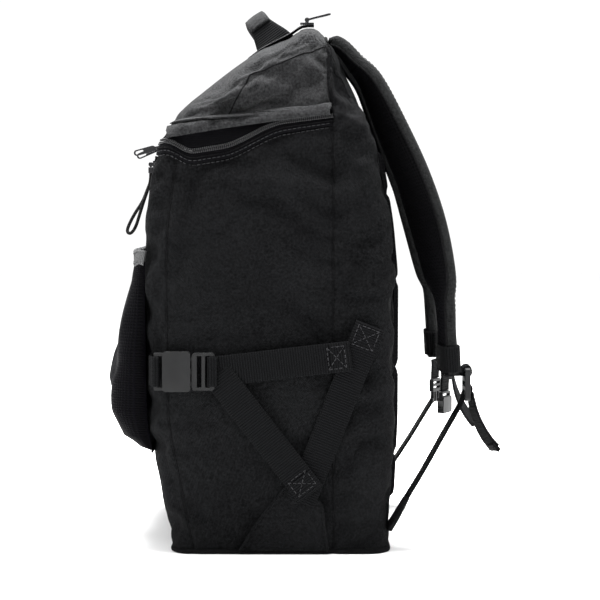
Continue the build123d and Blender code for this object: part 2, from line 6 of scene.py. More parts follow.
import bmesh
import bpy
import numpy as np
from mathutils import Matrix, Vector


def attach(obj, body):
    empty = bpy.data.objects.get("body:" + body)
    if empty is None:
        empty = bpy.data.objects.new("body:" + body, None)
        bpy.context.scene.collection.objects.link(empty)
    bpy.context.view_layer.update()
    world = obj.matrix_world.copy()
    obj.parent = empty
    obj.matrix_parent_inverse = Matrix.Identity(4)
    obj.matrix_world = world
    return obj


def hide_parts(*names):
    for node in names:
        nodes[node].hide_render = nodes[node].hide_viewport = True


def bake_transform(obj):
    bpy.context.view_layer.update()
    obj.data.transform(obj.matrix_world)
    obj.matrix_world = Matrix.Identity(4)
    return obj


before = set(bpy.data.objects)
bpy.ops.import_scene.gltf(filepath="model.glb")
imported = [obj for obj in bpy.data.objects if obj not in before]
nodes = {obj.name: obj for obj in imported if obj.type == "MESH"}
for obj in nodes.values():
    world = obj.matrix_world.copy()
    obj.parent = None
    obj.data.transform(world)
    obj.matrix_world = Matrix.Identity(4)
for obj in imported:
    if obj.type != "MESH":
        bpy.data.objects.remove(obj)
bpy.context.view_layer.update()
random.seed(7)
MM = 0.001
SIDES = (("right", -1), ("left", 1))


# ------------------------------------------------------------------ camera, light, floor
def look_at(thing, target):
    direction = Vector(target) - thing.location
    thing.rotation_euler = direction.to_track_quat("-Z", "Y").to_euler()


def make_stage():
    scene = bpy.context.scene
    camera = bpy.data.objects.new("camera", bpy.data.cameras.new("camera"))
    scene.collection.objects.link(camera)
    tilt = math.radians(3)
    camera.location = (0, -1.7 * math.cos(tilt), 0.205 + 1.7 * math.sin(tilt))
    look_at(camera, (0, 0, 0.205))
    camera.data.angle = math.radians(18.05)
    camera.data.clip_start = 0.05
    scene.camera = camera
    scene.view_settings.view_transform = "Standard"
    for name, place, size, power, target in (
        ("key", (-0.9, -1.1, 1.9), 0.9, 16, (0, 0, 0.25)),
        ("top", (-0.1, 0.1, 1.8), 0.9, 185, (0, 0, 0.3)),
        ("back", (1.5, -0.2, 1.5), 0.9, 30, (0, 0, 0.3)),
        ("front", (-1.7, -0.5, 0.7), 0.8, 12, (0, 0, 0.25)),
    ):
        lamp = bpy.data.objects.new(name, bpy.data.lights.new(name, "AREA"))
        lamp.data.size = size
        lamp.data.energy = power
        scene.collection.objects.link(lamp)
        lamp.location = place
        look_at(lamp, target)
    world = bpy.data.worlds.new("world")
    world.use_nodes = True
    world.node_tree.nodes["Background"].inputs[0].default_value = (1, 1, 1, 1)
    world.node_tree.nodes["Background"].inputs[1].default_value = 1.05
    scene.world = world
    floor = mesh_piece("floor", [(-6, -6, 0), (6, -6, 0), (6, 6, 0), (-6, 6, 0)], [(0, 1, 2, 3)])
    floor.data.materials.append(plain("floor_white", (0.93, 0.93, 0.93), 0.6))


# ------------------------------------------------------------------ node helpers and materials
class Graph:
    """A short way to build one material's nodes."""

    def __init__(self, name):
        self.material = bpy.data.materials.new(name)
        self.material.use_nodes = True
        self.tree = self.material.node_tree
        self.shader = self.tree.nodes["Principled BSDF"]

    def add(self, kind, links=None, **settings):
        node = self.tree.nodes.new(kind)
        for key, value in settings.items():
            setattr(node, key, value)
        for socket, value in (links or {}).items():
            if isinstance(value, bpy.types.NodeSocket):
                self.tree.links.new(value, node.inputs[socket])
            else:
                node.inputs[socket].default_value = value
        return node

    def math(self, operation, a, b=0.0):
        return self.add("ShaderNodeMath", {0: a, 1: b}, operation=operation).outputs[0]

    def coords(self, kind="Object"):
        return self.add("ShaderNodeTexCoord").outputs[kind]

    def uv(self, name="UV"):
        return self.add("ShaderNodeUVMap", uv_map=name).outputs[0]

    def noise(self, vector, scale, detail=3.0):
        return self.add("ShaderNodeTexNoise", {"Vector": vector, "Scale": scale, "Detail": detail}).outputs[0]

    def mix(self, factor, low, high):
        node = self.add("ShaderNodeMix", {0: factor, 6: (*low, 1), 7: (*high, 1)}, data_type="RGBA")
        return node.outputs[2]

    def spread(self, value, low, high, to_low=0.0, to_high=1.0):
        node = self.add("ShaderNodeMapRange", {0: value, 1: low, 2: high, 3: to_low, 4: to_high})
        return node.outputs[0]

    def finish(self, colour, roughness, height=None, distance=0.0002, strength=0.6):
        if isinstance(colour, bpy.types.NodeSocket):
            self.tree.links.new(colour, self.shader.inputs["Base Color"])
        else:
            self.shader.inputs["Base Color"].default_value = (*colour, 1)
        if isinstance(roughness, bpy.types.NodeSocket):
            self.tree.links.new(roughness, self.shader.inputs["Roughness"])
        else:
            self.shader.inputs["Roughness"].default_value = roughness
        if height is not None:
            bump = self.add("ShaderNodeBump", {"Height": height, "Distance": distance, "Strength": strength})
            self.tree.links.new(bump.outputs[0], self.shader.inputs["Normal"])
        return self.material


def plain(name, colour, roughness):
    graph = Graph(name)
    speck = graph.noise(graph.coords(), 3.0)
    tone = graph.mix(speck, [c * 0.97 for c in colour], colour)
    return graph.finish(tone, roughness)


def threads(graph, uv, pitch):
    """Height of a plain weave: warp and weft ridges that trade places like a chequerboard."""
    parts = graph.add("ShaderNodeSeparateXYZ", {0: uv})
    ridges = []
    for axis in (0, 1):
        turned = graph.math("MULTIPLY", parts.outputs[axis], math.pi / pitch)
        ridges.append(graph.math("ABSOLUTE", graph.math("SINE", turned)))
    check = graph.add("ShaderNodeTexChecker", {"Vector": uv, "Scale": 1 / pitch}).outputs[1]
    over = graph.math("MULTIPLY", ridges[0], check)
    under = graph.math("MULTIPLY", ridges[1], graph.math("SUBTRACT", 1.0, check))
    return graph.math("ADD", over, under)


def cloth_material(name, colour, pitch=0.0011, sheen=0.06, worn=2.3, shine=0.04):
    """Coarse woven cloth: weave, uneven dye, lint, and paler threads on the ridges."""
    graph = Graph(name)
    weave = threads(graph, graph.uv(), pitch)
    place = graph.coords()
    grain = graph.noise(place, 520.0, 2.5)
    patches = graph.noise(place, 14.0, 4.0)
    lift = graph.math("ADD", graph.math("MULTIPLY", weave, 0.22), graph.math("MULTIPLY", grain, 1.1))
    tone = graph.math("ADD", graph.math("MULTIPLY", lift, 0.8), graph.math("MULTIPLY", patches, 0.35))
    dark = [c * 0.25 for c in colour]
    pale = [c * worn for c in colour]
    height = graph.math("ADD", graph.math("MULTIPLY", weave, 0.6), graph.math("MULTIPLY", grain, 1.6))
    made = graph.finish(graph.mix(graph.spread(tone, 0.48, 0.92), dark, pale), 0.86, height, 0.0007, 0.8)
    graph.shader.inputs["Sheen Weight"].default_value = sheen
    graph.shader.inputs["Sheen Roughness"].default_value = 0.45
    graph.shader.inputs["Specular IOR Level"].default_value = shine
    return made


def webbing_material(name, colour, rib=0.0021, sheen=0.04, shine=0.07):
    """Ribbed webbing: ribs across it and fine cords along it, from the strap's own UV map in metres."""
    graph = Graph(name)
    parts = graph.add("ShaderNodeSeparateXYZ", {0: graph.uv()})
    across = graph.math("ABSOLUTE", graph.math("SINE", graph.math("MULTIPLY", parts.outputs[0], math.pi / rib)))
    along = graph.math("ABSOLUTE", graph.math("SINE", graph.math("MULTIPLY", parts.outputs[1], math.pi / 0.0016)))
    grain = graph.noise(graph.coords(), 700.0, 2.0)
    height = graph.math("ADD", across, graph.math("MULTIPLY", along, 0.35))
    tone = graph.math("ADD", graph.math("MULTIPLY", height, 0.6), graph.math("MULTIPLY", grain, 0.35))
    dark = [c * 0.35 for c in colour]
    pale = [c * 1.7 for c in colour]
    made = graph.finish(graph.mix(graph.spread(tone, 0.2, 1.0), dark, pale), 0.8, height, 0.0005, 0.9)
    graph.shader.inputs["Sheen Weight"].default_value = sheen
    graph.shader.inputs["Specular IOR Level"].default_value = shine
    return made


def mesh_material(name, colour, pitch, gloss=0.45):
    """Knitted mesh: rows of small holes in a slightly glossy net."""
    graph = Graph(name)
    holes = graph.add(
        "ShaderNodeTexVoronoi", {"Vector": graph.uv(), "Scale": 1 / pitch, "Randomness": 0.12}, feature="F1"
    ).outputs[0]
    net = graph.spread(holes, 0.2, 0.5)
    patches = graph.noise(graph.coords(), 25.0)
    tone = graph.math("MULTIPLY", net, graph.spread(patches, 0.2, 0.8, 0.6, 1.2))
    made = graph.finish(graph.mix(tone, [c * 0.25 for c in colour], colour), gloss, net, 0.0005, 0.8)
    graph.shader.inputs["Specular IOR Level"].default_value = 0.015
    graph.shader.inputs["Sheen Weight"].default_value = 0.003
    graph.shader.inputs["Sheen Tint"].default_value = (0.8, 0.78, 1.0, 1)
    return made


def moulded_material(name, colour, roughness, grain=900.0, shine=0.3):
    """Moulded plastic or enamelled metal: fine spark texture, scuffed a little unevenly."""
    graph = Graph(name)
    place = graph.coords()
    spark = graph.noise(place, grain, 2.0)
    scuffs = graph.noise(place, 60.0, 5.0)
    tone = graph.mix(graph.spread(scuffs, 0.35, 0.7), [c * 0.8 for c in colour], [c * 1.35 for c in colour])
    made = graph.finish(tone, graph.spread(scuffs, 0.3, 0.7, roughness - 0.07, roughness + 0.09), spark, 0.00008, 0.5)
    graph.shader.inputs["Specular IOR Level"].default_value = shine
    return made


PALETTE = {}


def make_palette():
    PALETTE.update(
        pack_fabric=cloth_material("cordura", (0.0030, 0.0031, 0.0033), sheen=0.004, shine=0.022),
        # the lid's copy of the pack's black cordura is painted lighter and given more sheen: painted light standing in
        # for the top lamp falling on the lid
        lid_fabric=cloth_material("cordura_lid_painted_light", (0.0105, 0.0107, 0.0111), sheen=0.035),
        lining=cloth_material("lining", (0.02, 0.02, 0.021), 0.0008, 0.01),
        pad_mesh=mesh_material("spacer_mesh", (0.0036, 0.0036, 0.0039), 0.0028, 0.85),
        strap_fabric=cloth_material("strap_cloth", (0.0072, 0.0075, 0.0076), 0.0008, 0.03, 1.5),
        pocket_mesh=mesh_material("pocket_net", (0.0007, 0.0006, 0.0011), 0.0021, 0.6),
        binding=webbing_material("elastic_binding", (0.045, 0.0455, 0.046), 0.0013, 0.02),
        webbing=webbing_material("strap_webbing", (0.0024, 0.0025, 0.0027), sheen=0.003, shine=0.025),
        zip_tape=webbing_material("zip_cloth", (0.0020, 0.0020, 0.0024), 0.0012, 0.003, 0.02),
        zip_coil=moulded_material("zip_coil", (0.006, 0.006, 0.0065), 0.42),
        zip_metal=moulded_material("dark_enamel", (0.008, 0.008, 0.009), 0.17, 300.0),
        cord=cloth_material("cord_braid", (0.006, 0.006, 0.006), 0.0009, 0.03),
        buckle_plastic=moulded_material("buckle_plastic", (0.006, 0.0062, 0.0064), 0.4, shine=0.14),
        stiffener=moulded_material("stiffener_sheet", (0.09, 0.09, 0.09), 0.5),
        thread=cloth_material("thread", (0.016, 0.016, 0.017), 0.0006, 0.02),
        piping=cloth_material("piping", (0.0022, 0.0022, 0.0024), 0.0009, 0.0),
    )


# ------------------------------------------------------------------ mesh helpers
def mesh_piece(name, verts, faces, uvs=None):
    mesh = bpy.data.meshes.new(name)
    mesh.from_pydata([tuple(v) for v in verts], [], faces)
    mesh.update()
    if uvs is not None:
        layer = mesh.uv_layers.new(name="UV")
        layer.data.foreach_set("uv", np.array([uvs[i] for f in faces for i in f], np.float32).ravel())
    for polygon in mesh.polygons:
        polygon.use_smooth = True
    piece = bpy.data.objects.new(name, mesh)
    bpy.context.scene.collection.objects.link(piece)
    return piece


def settle(piece, body, slot, *nodes_replaced, look=None):
    """Gives a piece the material picked by its slot or look, hides the CAD nodes it stands for, and hangs it on its
    body.
    """
    piece.data.materials.clear()
    piece.data.materials.append(PALETTE[look or slot])
    if nodes_replaced:
        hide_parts(*nodes_replaced)
    if body:
        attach(piece, body)
    return piece


def apply_modifiers(piece):
    bpy.context.view_layer.update()
    graph = bpy.context.evaluated_depsgraph_get()
    mesh = bpy.data.meshes.new_from_object(piece.evaluated_get(graph), preserve_all_data_layers=True, depsgraph=graph)
    piece.modifiers.clear()
    piece.data = mesh
    return piece


def subdivided(piece, levels=1):
    piece.modifiers.new("smooth", "SUBSURF").levels = levels
    return apply_modifiers(piece)


def thickened(piece, thickness, offset=-1.0):
    made = piece.modifiers.new("thick", "SOLIDIFY")
    made.thickness = thickness
    made.offset = offset
    return apply_modifiers(piece)


def joined(name, pieces, weld=False):
    """One object made of several meshes."""
    merged = bmesh.new()
    for piece in pieces:
        merged.from_mesh(piece.data)
    if weld:
        bmesh.ops.remove_doubles(merged, verts=merged.verts[:], dist=0.00002)
    mesh = bpy.data.meshes.new(name)
    merged.to_mesh(mesh)
    merged.free()
    for polygon in mesh.polygons:
        polygon.use_smooth = True
    for piece in pieces:
        bpy.data.objects.remove(piece)
    made = bpy.data.objects.new(name, mesh)
    bpy.context.scene.collection.objects.link(made)
    return made


def curve_through(points, step):
    """Points of a smooth curve through the given ones, about step apart."""
    points = [np.array(p, float) for p in points]
    padded = [2 * points[0] - points[1], *points, 2 * points[-1] - points[-2]]
    line = []
    for a, b, c, d in zip(padded, padded[1:], padded[2:], padded[3:]):
        count = max(2, int(np.linalg.norm(c - b) / step))
        for t in np.arange(count) / count:
            line.append(
                0.5 * (2 * b + (c - a) * t + (2 * a - 5 * b + 4 * c - d) * t**2 + (3 * b - a - 3 * c + d) * t**3)
            )
    return np.array([*line, points[-1]])


def tube(name, line, radius, sides=8, closed=False):
    """A round tube along a dense line of points."""
    line = np.asarray(line, float)
    count = len(line)
    verts, uvs, faces = [], [], []
    run = 0.0
    previous = None
    for i, point in enumerate(line):
        after = line[(i + 1) % count] if closed or i + 1 < count else line[i]
        before = line[i - 1] if closed or i > 0 else line[i]
        along = (after - before) / max(np.linalg.norm(after - before), 1e-9)
        guess = previous if previous is not None else np.array([0.31, 0.9, 0.29])
        side = guess - along * guess.dot(along)
        side /= np.linalg.norm(side)
        previous = side
        up = np.cross(along, side)
        run += 0 if i == 0 else np.linalg.norm(point - line[i - 1])
        for k in range(sides):
            angle = 2 * math.pi * k / sides
            verts.append(point + radius * (math.cos(angle) * side + math.sin(angle) * up))
            uvs.append((run, angle * radius))
    rings = count if closed else count - 1
    for i in range(rings):
        for k in range(sides):
            a, b = i * sides + k, i * sides + (k + 1) % sides
            c, d = (i + 1) % count * sides + (k + 1) % sides, (i + 1) % count * sides + k
            faces.append((a, b, c, d))
    if not closed:
        faces.append(tuple(reversed(range(sides))))
        faces.append(tuple(range((count - 1) * sides, count * sides)))
    return mesh_piece(name, verts, faces, uvs)


def ribbon(name, stations, thick, step=0.004, bulge=0.0):
    """A flat strap: stations are (middle point, direction across, half width). UV is metres along and across."""
    line = curve_through([np.array([*p, *a, h]) for p, a, h in stations], step)
    verts, uvs, faces = [], [], []
    run = 0.0
    edge = thick * 0.5
    for i, row in enumerate(line):
        middle, across, half = row[:3], row[3:6], row[6]
        ahead, behind = line[min(i + 1, len(line) - 1)][:3], line[max(i - 1, 0)][:3]
        along = (ahead - behind) / np.linalg.norm(ahead - behind)
        across = across - along * across.dot(along)
        across /= np.linalg.norm(across)
        up = np.cross(along, across)
        run += 0 if i == 0 else np.linalg.norm(middle - line[i - 1][:3])
        ring = []
        for k in range(9):
            f = -1 + k / 4
            ring.append((f * (half - edge * 0.4), edge + bulge * (1 - f * f)))
        ring.append((half, 0))
        for k in range(9):
            f = 1 - k / 4
            ring.append((f * (half - edge * 0.4), -edge - bulge * (1 - f * f)))
        ring.append((-half, 0))
        for w, t in ring:
            verts.append(middle + across * w + up * t)
            uvs.append((run, w))
    size = 20
    for i in range(len(line) - 1):
        for k in range(size):
            a, b = i * size + k, i * size + (k + 1) % size
            faces.append((a, b, b + size, a + size))
    faces.append(tuple(reversed(range(size))))
    faces.append(tuple(range((len(line) - 1) * size, len(line) * size)))
    return mesh_piece(name, verts, faces, uvs)


def stitches(name, line, out, length=0.0028, gap=0.0012, radius=0.00035):
    """A row of sewn stitches along a line, each a small dash that stands out of the cloth."""
    line = np.asarray(line, float)
    runs = np.r_[0, np.cumsum(np.linalg.norm(np.diff(line, axis=0), axis=1))]
    verts, faces = [], []
    at = 0.0
    while at + length < runs[-1]:
        ends = [np.array([np.interp(at + d, runs, line[:, k]) for k in range(3)]) for d in (0, length / 2, length)]
        lift = np.asarray(out(ends[1]) if callable(out) else out, float)
        along = ends[2] - ends[0]
        along /= np.linalg.norm(along)
        side = np.cross(along, lift)
        side /= np.linalg.norm(side)
        base = len(verts)
        for point, share in zip(ends, (0.2, 1.0, 0.2)):
            for k in range(5):
                angle = math.pi * k / 4
                verts.append(point + side * math.cos(angle) * radius + lift * math.sin(angle) * radius * share * 1.4)
        for ring in range(2):
            for k in range(4):
                a = base + ring * 5 + k
                faces.append((a, a + 1, a + 6, a + 5))
        at += length + gap
    return mesh_piece(name, verts, faces, [(v[0], v[2]) for v in verts])


# ------------------------------------------------------------------ the pack's sewn surface
# Level sections as in the CAD model: height, front, back, half width, corner radius, in millimetres
SECTIONS = np.array(
    [
        (0, -106, 74, 136, 18),
        (110, -127, 79, 143, 18),
        (230, -128.5, 79, 144, 18),
        (275, -127.5, 75, 141, 18),
        (343, -118, 64, 134, 18),
        (376, -95, 49, 129, 16),
        (404, -61, 36, 124, 13),
        (424, -32, 28, 119, 11),
        (435, -10, 22, 114, 9),
        (443, 2, 14, 110, 5),
    ],
    float,
)
ZIP_NOSE, ZIP_END, HINGE = (-118.0, 343.0), (27.0, 367.0), (22.0, 435.0)
SLOPE = (ZIP_END[1] - ZIP_NOSE[1]) / (ZIP_END[0] - ZIP_NOSE[0])
COLUMNS = (20, 6, 24, 12, 20)  # front half, front corner, side, gusset, back half


def section(z):
    """Front, back, half width and corner radius at a height, eased over the CAD model's ridges."""
    reach = 9 if z < 395 else max(2.0, 9 - (z - 395) * 0.16)
    heights = np.clip(z + np.linspace(-reach, reach, 7), 0, 443)
    return [float(np.interp(heights, SECTIONS[:, 0], SECTIONS[:, k]).mean()) for k in range(1, 5)]


def crease(z):
    """X of the upright seam between side and gusset, which leans along the lid's crease above the zip."""
    if z < ZIP_END[1]:
        return 27.5
    return ZIP_END[0] + (HINGE[0] - ZIP_END[0]) * min(1.0, (z - ZIP_END[1]) / (HINGE[1] - ZIP_END[1]))


def outline_point(z, segment, share):
    """Point on the outline at height z, in mm: segment 0 is the front's middle to its corner, 4 the back."""
    front, back, half, r = section(z)
    flat = half - r
    ends = [0, flat, flat + r * math.pi / 2]
    side_end = ends[2] + (back - r) - (front + r)
    corner_end = side_end + r * math.pi / 2
    seam = min(crease(z), back)
    if seam <= back - r:
        ends.append(ends[2] + seam - (front + r))
    else:
        ends.append(side_end + r * math.asin(min(1.0, max(0.0, (seam - back + r) / r))))
    ends.append(max(ends[3], corner_end + flat - min(112, flat)))
    ends.append(corner_end + flat)
    s = ends[segment] + share * (ends[segment + 1] - ends[segment])
    if s < ends[1]:
        return front, s
    if s < ends[2]:
        a = (s - ends[1]) / r
        return front + r - r * math.cos(a), flat + r * math.sin(a)
    if s < side_end:
        return front + r + s - ends[2], half
    if s < corner_end:
        a = (s - side_end) / r
        return back - r + r * math.sin(a), flat + r * math.cos(a)
    return back, max(0.0, flat - (s - corner_end))


def zip_height(x, offset):
    return ZIP_NOSE[1] + (x - ZIP_NOSE[0]) * SLOPE + offset


def sag(x, y):
    """How far the slack zip tape hangs below its straight line, in mm."""
    if abs(y) < 118:
        return 0.0
    rise = min(1.0, max(0.0, (x + 113) / 26))
    fall = min(1.0, max(0.0, (-12 - x) / 52))
    ease = lambda t: t * t * (3 - 2 * t)
    return 13.0 * ease(rise) * ease(fall) * min(1.0, (abs(y) - 118) / 10)


# Soft folds of the side: start X, Z, end X, Z, half width, depth in mm; a negative depth is a ridge
FOLDS = [
    (24, 316, -20, 334, 11, 3.4),
    (25, 300, -45, 309, 9, -2.6),
    (25, 287, 2, 296, 5, 2.6),
    (25, 262, 6, 266, 5, 2.4),
    (25, 244, 0, 238, 6, 2.2),
    (-90, 300, -106, 200, 11, 2.4),
    (-60, 330, -100, 312, 8, 2.2),
    (-20, 230, 20, 150, 16, 2.2),
    (-70, 260, -40, 120, 18, 1.8),
    (22, 352, -30, 345, 6, 1.6),
    (-52, 371, 6, 403, 11, 4.6),
    (-60, 384, -20, 408, 7, -1.5),
    (-46, 385, 6, 416, 8, -1.6),
    (-72, 358, -57, 383, 4, 2.6),
    (-20, 380, 16, 381, 8, 1.8),
    (12, 402, 20, 418, 6, 1.6),
]


def fold_depth(x, z):
    total = 0.0
    for x0, z0, x1, z1, wide, depth in FOLDS:
        dx, dz = x1 - x0, z1 - z0
        t = ((x - x0) * dx + (z - z0) * dz) / (dx * dx + dz * dz)
        t = min(1.0, max(0.0, t))
        off = math.hypot(x - x0 - t * dx, z - z0 - t * dz)
        total += depth * math.exp(-((off / wide) ** 2)) * (1 - 0.55 * t)
    return total


def surface(z, segment, share, sign, out=0.0):
    """Point of the sewn surface in metres, with its folds, and moved outwards by out mm."""
    x, y = outline_point(z, segment, share)
    _, _, half, r = section(z)
    depth = 1.7 * fold_depth(x, z) if segment in (2, 3) else 0.0
    if (segment == 3 and share < 0.01) or (segment == 2 and share > 0.99):
        depth += 2.4
    if (segment == 2 and share < 0.01) or (segment == 1 and share > 0.99):
        depth += 1.0
    edge = min(1.0, max(0.0, (y - half + r) / r))
    rise = min(1.0, max(0.0, (z - 352) / 50))
    dip = 10.0 * rise * rise * (3 - 2 * rise) * (min(y, 118) / 112) ** 3.2
    y = y + (out - depth) * edge
    if segment in (0, 1) and edge < 1:
        x -= out * (1 - edge)
    if segment == 4:
        x += out
    return np.array([x * MM, sign * y * MM, (z - dip) * MM])


def columns(first, last, closed):
    """Every column as (segment, share, side): down the right side, or right round the pack."""
    half = []
    for segment in range(first, last + 1):
        count = COLUMNS[segment]
        half += [(segment, k / count) for k in range(count)]
    half.append((last, 1.0))
    near = [(s, f, -1) for s, f in half]
    far = [(s, f, 1) for s, f in half]
    if first == 0:
        row = far[::-1] + near[1:]
        return row[:-1] if closed else row
    return near + far[::-1][1:]


def grid_faces(rows, across, closed):
    faces = []
    for j in range(rows - 1):
        for i in range(across if closed else across - 1):
            a, b = j * across + i, j * across + (i + 1) % across
            faces.append((a, b, b + across, a + across))
    return faces


def wall_grid(row_of_columns, low, high, rows, closed):
    """Rows between two heights that may depend on X and Y. Returns points, faces, UVs and pin weights."""
    verts, uvs, pins = [], [], []
    for j in range(rows):
        v = j / (rows - 1)
        run = 0.0
        for i, (segment, share, sign) in enumerate(row_of_columns):
            z = 200.0
            for _ in range(5):
                x, y = outline_point(z, segment, share)
                z = low(x, y) + v * (high(x, y) - low(x, y))
            point = surface(z, segment, share, sign)
            run += 0 if i == 0 else np.linalg.norm(point - verts[-1])
            verts.append(point)
            uvs.append((run, z * MM))
            seam = share < 0.01 and segment in (2, 3, 4)
            seam = seam or (share > 0.99 and segment in (1, 2, 3))
            pins.append(1.0 if j in (0, rows - 1) else (0.85 if seam else 0.0))
    return verts, grid_faces(rows, len(row_of_columns), closed), uvs, pins


def make_skins():
    """The lower pack, the rear above the zip, and the lid, each a structured sheet."""
    tape = 9.5
    loop = columns(0, 4, True)
    lower = wall_grid(loop, lambda x, y: 1.5, lambda x, y: zip_height(x, -tape - sag(x, y)), 62, True)
    rear = wall_grid(
        columns(3, 4, False), lambda x, y: zip_height(x, -tape - sag(x, y)), lambda x, y: HINGE[1], 16, False
    )
    cover = wall_grid(columns(0, 2, False), lambda x, y: zip_height(x, tape), lambda x, y: HINGE[1], 22, False)
    return lower, rear, cover, lid_crown()


def lid_crown():
    """The top of the lid, above the hinge line, closed along its ridge."""
    row = [c for c in columns(0, 4, True) if c[0] != 3]
    verts, uvs, pins = [], [], []
    levels = [(435, 0), (437.5, 0), (440, 0), (442.2, 0.06), (443, 0.3), (443.4, 0.65), (443.5, 1)]
    for z, close in levels:
        for segment, share, sign in row:
            point = surface(min(z, 443), segment, share, sign)
            ridge = min(abs(point[1]), 0.1045) * (-1 if point[1] < 0 else 1)
            x = point[0] + close * (0.008 - point[0])
            y = point[1] + close * (ridge - point[1])
            verts.append(np.array([x, y, point[2] + max(0, z - 443) * MM]))
            uvs.append((y, x + point[2]))
            pins.append(0.8)
    return verts, grid_faces(len(levels), len(row), True), uvs, pins


def body_cloth(skins):
    """All skins in one mesh, with the panel seams weighted in a pin group for the cloth simulation that lets out the
    cloth between them.
    """
    merged = bmesh.new()
    weights = merged.verts.layers.float.new("pin")
    region = merged.faces.layers.int.new("region")
    uv_layer = merged.loops.layers.uv.new("UV")
    for number, (verts, faces, uvs, pins) in enumerate(skins):
        made = [merged.verts.new(v) for v in verts]
        for vert, pin in zip(made, pins):
            vert[weights] = pin
        for face in faces:
            corners = [made[i] for i in face]
            if len({tuple(np.round(c.co, 7)) for c in corners}) < 3:
                continue
            polygon = merged.faces.new(corners)
            polygon[region] = 1 if number >= 2 else 0
            polygon.smooth = True
            for loop, index in zip(polygon.loops, face):
                loop[uv_layer].uv = uvs[index]
    for chosen in (0, 1):
        verts = {v for f in merged.faces if f[region] == chosen for v in f.verts}
        bmesh.ops.remove_doubles(merged, verts=list(verts), dist=0.0002)
    bmesh.ops.recalc_face_normals(merged, faces=merged.faces[:])
    rest = merged.verts.layers.float_vector.new("rest")
    for vert in merged.verts:
        vert[rest] = vert.co
    mesh = bpy.data.meshes.new("pack_cloth")
    merged.to_mesh(mesh)
    merged.free()
    piece = bpy.data.objects.new("pack_cloth", mesh)
    bpy.context.scene.collection.objects.link(piece)
    group = piece.vertex_groups.new(name="pin")
    for index, value in enumerate(mesh.attributes["pin"].data):
        group.add([index], value.value, "REPLACE")
    return piece


def blurred(values, edges, rounds):
    """Values averaged with their neighbours' along the mesh's edges, several times over."""
    count = np.zeros(len(values))
    np.add.at(count, edges[:, 0], 1)
    np.add.at(count, edges[:, 1], 1)
    for _ in range(rounds):
        total = np.zeros(len(values))
        np.add.at(total, edges[:, 0], values[edges[:, 1]])
        np.add.at(total, edges[:, 1], values[edges[:, 0]])
        values = 0.5 * values + 0.5 * total / np.maximum(count, 1)
    return values


def let_out(piece, pressure, slack, frames=26, stiffness=10.0, bending=0.25):
    """Cloth simulation with the seams held: the cloth is cut a little large, so it ripples between them.

    The creases are kept and the swelling is taken away, because straps and pads lie on the cloth.
    """
    mesh = piece.data
    rest = np.array([v.co for v in mesh.vertices])
    normals = np.array([v.normal for v in mesh.vertices])
    edges = np.array([e.vertices for e in mesh.edges])
    made = piece.modifiers.new("cloth", "CLOTH")
    cloth = made.settings
    cloth.vertex_group_mass = "pin"
    cloth.quality = 5
    cloth.mass = 0.25
    cloth.tension_stiffness = stiffness
    cloth.compression_stiffness = stiffness
    cloth.shear_stiffness = 3.0
    cloth.bending_stiffness = bending
    cloth.use_pressure = True
    cloth.uniform_pressure_force = pressure
    cloth.shrink_min = -slack
    cloth.effector_weights.gravity = 0.0
    made.collision_settings.use_collision = False
    made.point_cache.frame_start = 1
    made.point_cache.frame_end = frames
    scene = bpy.context.scene
    for number in range(1, frames + 1):
        scene.frame_set(number)
    apply_modifiers(piece)
    scene.frame_set(1)
    now = np.array([v.co for v in piece.data.vertices])
    swell = ((now - rest) * normals).sum(1)
    broad = blurred(swell, edges, 16)
    low = rest[:, 2] < 0.215
    back = (rest[:, 0] > 0.05) & (np.abs(rest[:, 1]) < 0.113) & (rest[:, 2] < 0.36)
    most = np.where(back, 0.0002, np.where(low, 0.0009, 0.0024))
    push = np.clip((swell - broad) * 2.2, -0.0055, 0.003) + np.minimum(broad, 0.0012)
    push = np.minimum(push, most)
    piece.data.vertices.foreach_set("co", (rest + normals * push[:, None]).astype(np.float32).ravel())
    piece.data.update()
    return piece


def part_of(piece, name, keep):
    """A copy of the faces of a piece whose centre passes a test."""
    mesh = piece.data.copy()
    mesh.name = name
    work = bmesh.new()
    work.from_mesh(mesh)
    region = work.faces.layers.int.get("region")
    drop = [f for f in work.faces if not keep(f.calc_center_median(), f[region])]
    bmesh.ops.delete(work, geom=drop, context="FACES")
    work.to_mesh(mesh)
    work.free()
    made = bpy.data.objects.new(name, mesh)
    bpy.context.scene.collection.objects.link(made)
    return made


def boundary_lines(piece):
    """Open edges of a sheet as ordered lines of points."""
    work = bmesh.new()
    work.from_mesh(piece.data)
    edges = {e for e in work.edges if len(e.link_faces) == 1}
    lines = []
    while edges:
        edge = edges.pop()
        line = [edge.verts[0], edge.verts[1]]
        for end in (1, 0):
            while True:
                tip = line[-1] if end else line[0]
                following = [e for e in tip.link_edges if e in edges]
                if not following:
                    break
                edges.discard(following[0])
                other = following[0].other_vert(tip)
                line = [*line, other] if end else [other, *line]
        lines.append(np.array([v.co for v in line]))
    work.free()
    return lines


def cut_by_plane(piece, point, normal, keep_above, name):
    """The part of a sheet on one side of a plane that is laid through the sheet's shape before it creased."""
    mesh = piece.data.copy()
    work = bmesh.new()
    work.from_mesh(mesh)
    vectors = work.verts.layers.float_vector
    creased = vectors.get("creased") or vectors.new("creased")
    rest = vectors["rest"]
    for vert in work.verts:
        vert[creased] = vert.co
        vert.co = vert[rest]
    geometry = work.verts[:] + work.edges[:] + work.faces[:]
    bmesh.ops.bisect_plane(
        work, geom=geometry, plane_co=point, plane_no=normal, clear_inner=keep_above, clear_outer=not keep_above
    )
    for vert in work.verts:
        vert.co = vert[creased]
    work.to_mesh(mesh)
    work.free()
    made = bpy.data.objects.new(name, mesh)
    bpy.context.scene.collection.objects.link(made)
    return made


LID_SEAM_TURN = (-0.0415, 0, 0.3985)  # where the seam of the lid's side turns down towards the zip


def on_lid(piece, slot, *replaced, look=None):
    """A piece of the lid's cloth: given its material, with the CAD nodes it replaces hidden and its transform baked
    into its mesh.
    """
    settle(piece, None, slot, *replaced, look=look)
    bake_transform(piece)
    return piece


